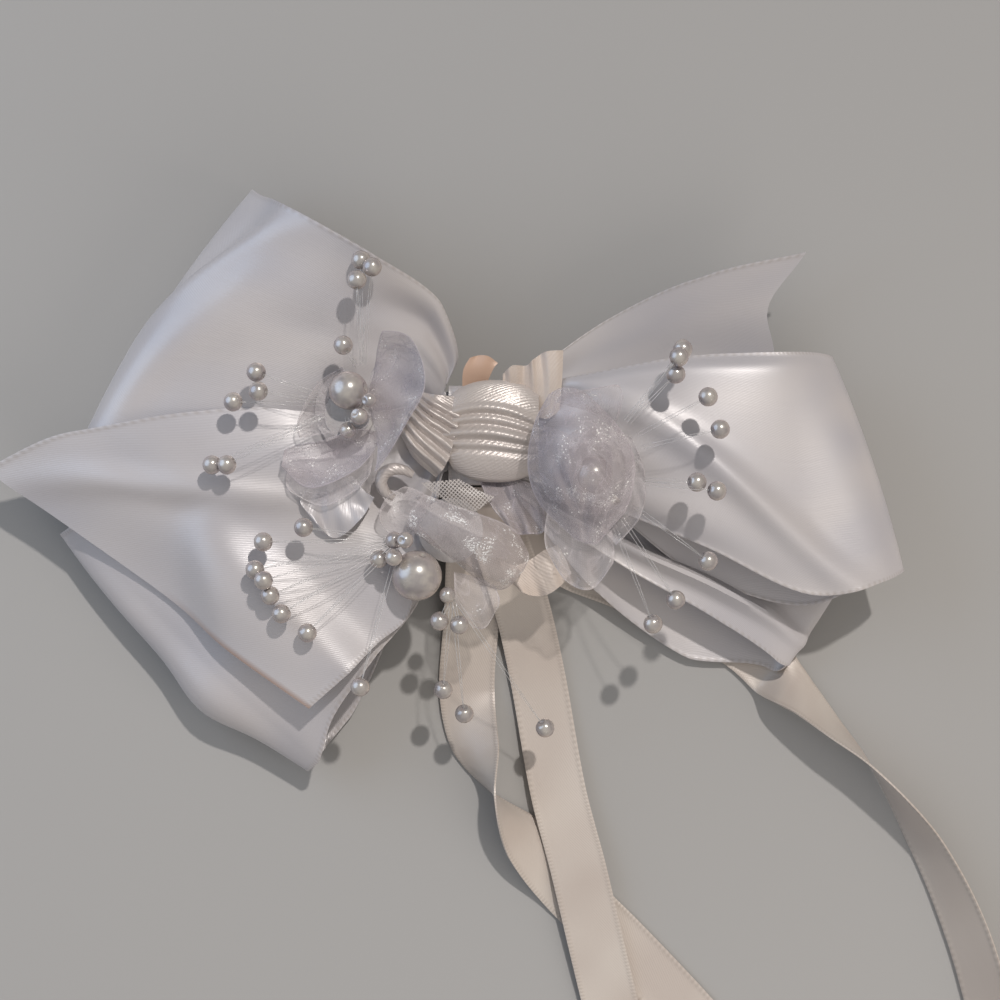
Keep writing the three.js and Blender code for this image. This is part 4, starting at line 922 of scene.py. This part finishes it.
inner = patch([
    [(-19.3, 13, 26.2), (-20.3, 9.2, 26.1), (-20.3, 6.3, 26.1), (-19.7, 3, 26.2)],
    [(-16.6, 17, 29), (-12.9, 13.7, 29), (-11.7, 8.7, 29), (-14.2, 3.3, 28.5)],
    [(-12.7, 19.6, 34), (-9, 15.8, 35), (-8.2, 9.3, 35), (-11.6, 3.2, 33)],
], waves(0.3, 5, 2))
organza_petal("petal_left_tall", clear_of(left_pearl, inner), (18, 14), "_inner")
spray("spray_left_up", left_base, (-21, 12, 5), 2.5, [
    (-21.3, 35.8, 7), (-18.9, 34.2, 9), (-22, 31.5, 10), (-24.9, 18.2, 8),
])
spray("spray_left_side", left_base, (-24.5, 6, 4), 5, [
    (-42.9, 12.7, 7), (-42.3, 8.7, 9), (-47.7, 6.6, 6.5), (-52.1, -6.4, 6), (-48.9, -6.4, 7.5),
    (-19.6, 6.9, 8.6, 3), (-21.7, 3.6, 7, 3.6), (-24.2, 0.8, 4, 3.4),
])

# Satin leaf
# A raw end of the white satin that sticks out below the left flower. It is gathered under the flower's disc.
raw_end = patch([
    [(-23.5, -8.6, 23.9), (-26, -9.5, 23.9), (-29, -10.3, 23.9), (-31.9, -10.3, 23.9)],
    [(-21, -11.6, 24.4), (-24.8, -14.1, 24.2), (-29.3, -15.3, 24.2), (-34.3, -13.7, 24.4)],
    [(-18.9, -13.2, 24.7), (-21.8, -17.8, 24.4), (-27.3, -21.6, 24.2), (-32.2, -17, 24.4)],
], lambda t, s: 0.6 * t * np.sin(6 * s + 3 * t) + 0.15 * t * np.sin(17 * s - 5 * t))
leaf = lay_cloth("satin_leaf", raw_end, (40, 80), (14, 10), SATIN, white_satin, woven_edge=False)
sew(leaf, "leaf_left")

# Right flower
# A bud: four petals round the hub, two more wrapped round a large pearl, and a hood of organza that closes
# over it. Two sprays come out at its side.
right_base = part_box("disc_right")[0][2] / MM + SEAT
right_pearl = big_pearl("pearl_right", (0.3, 1, 0.2))
lower_petal = patch([
    [(17.3, -14.7, 28.6), (21.8, -17.8, 28.6), (26, -19.4, 28.6), (30.5, -19.9, 28.6)],
    [(16.5, -20.9, 28.2), (21, -24.4, 28), (25.6, -26.1, 28), (31, -24.4, 28.2)],
    [(17.3, -26.1, 27.2), (21.5, -30.9, 27), (26, -32.3, 27), (30.6, -29, 27.4)],
], waves(0.7, 9))
organza_petal("petal_right_lower", lower_petal, (15, 12))
top_petal = patch([
    [(18.9, 6.6, 29), (23.1, 5.4, 29), (27.6, 4.1, 29), (31.3, 2.1, 29)],
    [(20.2, 8.2, 30), (24.3, 7.4, 30.6), (28.8, 7, 31), (32.1, 4.5, 31)],
    [(22.2, 8.6, 31.2), (25.9, 9.2, 32), (30.4, 10, 33), (33.4, 10.6, 33.6)],
], waves(0.2, 6))
organza_petal("petal_right_top", top_petal, (10.5, 10))
side_petal = patch([
    [(30.5, 1.8, 30.6), (32.5, -4.4, 29.9), (32.5, -11.6, 29.9), (28, -19.8, 30.2)],
    [(33.8, -0.4, 30.2), (35.2, -5, 29.8), (35.2, -12, 29.8), (30.5, -21.9, 30)],
    [(35, -1.3, 31.4), (37, -7.5, 31.6), (36.8, -15.7, 31.6), (31.9, -24, 31.4)],
], waves(0.6, 16))
organza_petal("petal_right_side", side_petal, (15, 10))
back_petal = patch([
    [(16.6, 1.8, 30), (15.2, -3.3, 30), (15.6, -8.7, 30), (17.7, -13.7, 30)],
    [(19.2, 0.7, 34.5), (18.4, -4.2, 35), (18.8, -9.6, 34.5), (20.9, -13.7, 34)],
    [(22.7, -0.6, 36.4), (21.2, -5.1, 37.4), (22, -10.8, 37), (25.8, -14.7, 35.5)],
], waves(0.5, 7))
organza_petal("petal_right_back", clear_of(right_pearl, back_petal), (15, 10))
hood = patch(
    [
        [(17.5, 8.2, 31), (20.1, 9.4, 32.5), (23.8, 9, 32.5), (27.6, 6.1, 31)],
        [(14.6, 2.6, 31), (19.6, 3.9, 37.4), (25.7, 3.5, 37.8), (32.3, 0.8, 31)],
        [(13.1, -4.4, 30.4), (19.1, -3.5, 40), (26.4, -3.9, 40.4), (35, -5.2, 30.6)],
        [(13.7, -10.3, 30.4), (19.9, -10.4, 39.4), (27.2, -10.8, 40), (34.6, -11.8, 30.8)],
        [(16.4, -15.9, 30.4), (21.2, -16.1, 36), (27.6, -16.5, 36.8), (32.5, -17.4, 31)],
        [(20.2, -20.5, 30), (23.6, -22.1, 31), (27.3, -22.7, 31), (30, -20.7, 30.6)],
    ],
    lambda t, s: -0.8 * bump_at(s, -0.35 + 0.8 * (t - 0.5), 0.1) * bump_at(t, 0.6, 0.25)
    - 0.6 * bump_at(s, 0.2 - 0.6 * (t - 0.5), 0.08) * bump_at(t, 0.75, 0.2),
)
hood = clear_of(right_pearl, hood)
organza_petal("petal_right_hood", hood, (26, 32), cloth=frosted_organza, steps=(96, 72))


def bud_petal(turn, span, radius):
    """A petal wrapped round the pearl, whose rim winds from the top of the bud out to its side."""

    def shape(t, s):
        angle = math.radians(turn) + math.radians(span) / 2 * s
        rim = 0.18 + 0.2 * (s + 1)
        out = radius * (1 - (1 - rim) * t**2.2) + 0.3 * t * np.sin(9 * s)
        high = 30.6 + 8 * (1 - (1 - t) ** 2) - 1.2 * (s + 1) * t
        return np.column_stack((26.4 + out * np.cos(angle), -7.6 + 1.1 * out * np.sin(angle), high))

    return clear_of(right_pearl, shape)


organza_petal("petal_right_back", bud_petal(200, 230, 8.2), (24, 11), "_bud", glitter_organza)
organza_petal("petal_right_back", bud_petal(20, 210, 7), (20, 11), "_wrap")
spray("spray_right_up", right_base, (27, -5, 4), 10, [
    (44.7, 17.2, 9), (43.8, 15.5, 11), (43.3, 12.1, 8.5), (49.8, 7.4, 10), (52.3, 0.8, 9.5),
])
spray("spray_right_down", right_base, (27, -9, 2), 10, [
    (47.6, -10, 9), (51.6, -11.8, 10), (50.1, -26.2, 6), (43.7, -34.3, 2), (39.1, -39.4, 0),
])

# Lower flower
# A large petal rolled over the flat ones, with the largest pearl at its left and sprays to the side and down.
lower_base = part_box("disc_lower")[0][2] / MM + SEAT
lower_pearl = big_pearl("pearl_lower", (0.3, 1, 0.6))
side_petal = patch([
    [(-6.9, -13.2, 22), (-7.9, -15.7, 21.8), (-9.2, -18.3, 21.8), (-10.6, -21.2, 22)],
    [(-11, -11.1, 22.6), (-13.2, -14.5, 22.2), (-14, -17.8, 22.2), (-13.6, -21.6, 22.6)],
    [(-13.9, -10.7, 24), (-17, -14.1, 24.2), (-17.9, -17.4, 24.2), (-16.4, -21.2, 24)],
], waves(0.5, 6))
organza_petal("petal_lower_side", clear_of(lower_pearl, side_petal), (11, 10))
tip = patch([
    [(-2.3, -28.7, 22.4), (0.7, -29.3, 22.4), (4, -30.4, 22.4), (6.3, -31.6, 22.4)],
    [(-2, -34.1, 23.4), (1.1, -35.4, 23.6), (4.6, -35.8, 23.6), (7.3, -34.5, 23.2)],
    [(-0.6, -37.9, 22.4), (1.9, -40.4, 22.2), (4.2, -40.4, 22.2), (6.7, -37.1, 22.4)],
], waves(0.3, 6))
organza_petal("petal_lower_tip", clear_of(lower_pearl, tip), (10, 11))
rolled = patch([
    [(-10, -18.5, 23.5), (-11.8, -19.5, 25.4), (-11.1, -15.7, 26.4), (-8.5, -12.4, 25.5)],
    [(-5, -23.7, 23.2), (-6.8, -22.8, 27), (-5.5, -17.8, 29), (-3.4, -14.3, 27)],
    [(0.9, -28.9, 22.6), (-0.9, -25.7, 27.6), (0.7, -20.3, 30.4), (2.4, -16.3, 28)],
    [(5.5, -32, 22.6), (4.7, -28.4, 27.6), (6.7, -22.3, 30.4), (8, -18.4, 28.4)],
    [(9, -32, 23.2), (9, -29.8, 27), (10.9, -24.6, 29), (11.3, -20.5, 27.6)],
    [(11.9, -29.1, 25), (12.3, -28.2, 25.6), (13.4, -25.5, 26), (13.2, -23.2, 26)],
])
rolled = clear_of(lower_pearl, rolled)
organza_petal("petal_lower_rolled", rolled, (18, 26), cloth=glitter_organza, steps=(72, 64))
behind = patch([
    [(2.7, -8.6, 19.3), (7.3, -9.9, 19.3), (11.5, -9.5, 19.3), (15.7, -11.1, 19.6)],
    [(4.8, -13.6, 22.4), (8.4, -14.9, 22.8), (12.6, -14.9, 22.8), (16.6, -16.2, 22.4)],
    [(8.4, -19.1, 24), (11.1, -20.8, 23.6), (14.3, -20.8, 23.6), (17.4, -22, 23)],
], waves(0.9, 9))
organza_petal("petal_lower_rolled", behind, (13, 12), "_behind", frosted_organza)
spray("spray_lower_side", lower_base, (-13.5, -22, 6), 1, [
    (-33.2, -19.3, 10), (-41.6, -22.3, 9), (-43.3, -28.1, 9), (-41.4, -30.2, 11), (-40.2, -33.4, 9),
    (-37.9, -37.2, 8.5), (-32.6, -41.2, 7.5), (-21.7, -52.5, 6), (-17.8, -25.9, 6, 3.8),
    (-14.6, -25.5, 9.4, 3.6), (-14.6, -22, 8, 3.6), (-12.2, -21.9, 11.2, 3.4),
])
spray("spray_lower_down", lower_base, (-2.6, -33.4, 3.8), 0.5, [
    (-5.3, -38.9, 3.6), (-1.1, -39.7, 4.3), (-4.6, -53.6, -2), (-0.2, -58.8, -4), (16.9, -61.9, -5),
    (-3.6, -33.4, 5, 3.4),
])

# Ruffles and net
# Raw satin ends that stand out round the flowers, one of them white satin painted peach as warm shade, a
# rolled curl of the cream satin, and a square of nylon net.
# Painted warm shade: the back ruffle is painted peach for the warm shade that it lies in under the ruche
peach_satin = satin("peach satin", "#d4b29b", "#c4a28b", 0.45)
raw_satin = satin("raw beige satin", "#dacec4", "#cabbb0", 0.5, twill=0.6, relief=0.5, crush=2)
top = patch([
    [(7, 6.6, 20), (9.8, 6.2, 20), (12.6, 5.4, 20), (15, 4, 20.4), (17.2, 3.4, 21), (19.8, 5, 21)],
    [(7.8, 10.4, 21.6), (10.3, 11, 21.8), (13, 10.8, 21.6), (15, 10.6, 22), (17.4, 11, 22.4), (20.3, 12, 22)],
    [(8, 12.7, 22.4), (9.9, 14.4, 22.6), (13.2, 14.6, 22.2), (14.4, 15.8, 22.6), (16.8, 17.3, 22.8),
     (20.5, 17.7, 22.4)],
], lambda t, s: 0.7 * t * np.sin(9 * s + 1) + 0.15 * t * np.sin(23 * s))
back = patch([
    [(-0.6, 9.6, 16.8), (0.9, 9.4, 16.8), (2.6, 9.6, 16.8), (4.2, 10.2, 16.8)],
    [(-0.4, 13.6, 17.6), (1.6, 13.9, 17.8), (3.9, 14.1, 17.8), (5.9, 13.9, 17.6)],
    [(1, 16.3, 17.6), (2.7, 16.8, 17.8), (4.8, 16.7, 17.8), (6.9, 15.2, 17.6)],
], waves(0.25, 5))
bottom = patch([
    [(7.3, -26.2, 20), (10.5, -27.3, 20), (13.6, -26.2, 20), (16.8, -24.1, 20), (19.5, -23.1, 20)],
    [(8.6, -30, 19.6), (12, -31.3, 19.8), (16, -30.9, 20.2), (19.1, -27.9, 20.4), (21.2, -26.2, 20.2)],
    [(10.3, -31.3, 19), (12.8, -33.4, 19.2), (17, -33.6, 19.6), (20.4, -31.3, 20), (22.3, -29, 20)],
], lambda t, s: 0.7 * t * np.sin(8 * s) + 0.15 * t * np.sin(19 * s + 1))
for node_name, shape, cut, area, cloth, slot in (
    ("ruffle_top", top, (13, 16), 200, raw_satin, "satin"),
    ("ruffle_back", back, (10, 10), 44, peach_satin, "peach_satin"),
    ("ruffle_bottom", bottom, (15, 10), 125, raw_satin, "satin"),
):
    ruffle = lay_cloth(f"satin_{node_name}", shape, (48, 96), cut, SATIN, cloth, woven_edge=False)
    sew(ruffle, node_name)
curl_line = [(-14.8, -13.2, 23), (-16.6, -12, 23.4), (-17.5, -10.1, 23.6), (-16.9, -8.2, 23.6)]
curl_line += [(-15, -7.2, 23.6), (-12.9, -7.4, 23.4), (-10.8, -8.4, 23)]


def rolled_end(t, s):
    """A strip rolled into a thin tube along the hooked line."""
    middle = through(curl_line, t)
    along = unit(through(curl_line, np.minimum(t + 0.01, 1)) - through(curl_line, np.maximum(t - 0.01, 0)))
    aside = unit(np.column_stack((-along[:, 1], along[:, 0], np.zeros(len(t)))))
    round_it = aside * np.cos(math.pi * s)[:, None] + np.array([0, 0, 1]) * np.sin(math.pi * s)[:, None]
    return middle + round_it * (1.2 - 0.6 * (2 * t - 1) ** 2)[:, None]


curl = lay_cloth(
    "satin_ruffle_curl", rolled_end, (60, 32), (6, 15), SATIN, cream_satin, woven_edge=False, closed=True
)
sew(curl, "ruffle_curl")
net_nylon, tree, shader = material("fine nylon net")
place = node(tree, "TexCoord").outputs["Object"]
# Threads cross on the slant, 0.6 mm apart
slant = node(
    tree, "Mapping", {"Vector": place, "Rotation": (0, 0, math.radians(40)), "Scale": (1000, 1000, 0)}
)
spaced = {"Vector": slant, "Scale": WAVE / 0.6}
warp, weft = (node(tree, "TexWave", spaced, bands_direction=way).outputs["Fac"] for way in "XY")
threads = node(tree, "Math", {0: warp, 1: weft}, operation="MAXIMUM")
cover = node(tree, "MapRange", {"Value": threads, "From Min": 0.55, "To Min": 0.1, "To Max": 0.85})
tone = node(tree, "ValToRGB", {"Fac": threads}, ((0, "#958d89"), (1, "#c6beb9")))
feed(tree, shader, {"Base Color": tone, "Alpha": cover, "Roughness": 0.4})
square = patch([
    [(-9.1, -10.1, 23.4), (-7.3, -11.6, 23.6), (-5, -13.2, 23.8), (-2, -14.9, 24), (0.9, -16.2, 24.2)],
    [(-5.2, -9.7, 23.8), (-2.7, -11.1, 24.4), (-0.6, -12.4, 24.6), (1.1, -13.9, 24.6), (2.8, -15.7, 24.4)],
    [(-1.2, -9.3, 23.4), (0.9, -10.5, 23.8), (2.8, -11.6, 24), (4.6, -12.4, 24), (6.3, -13, 23.8)],
])
net = lay_cloth("nylon_net_square", square, (40, 60), (12, 10), ORGANZA, net_nylon)
sew(net, "net_square")
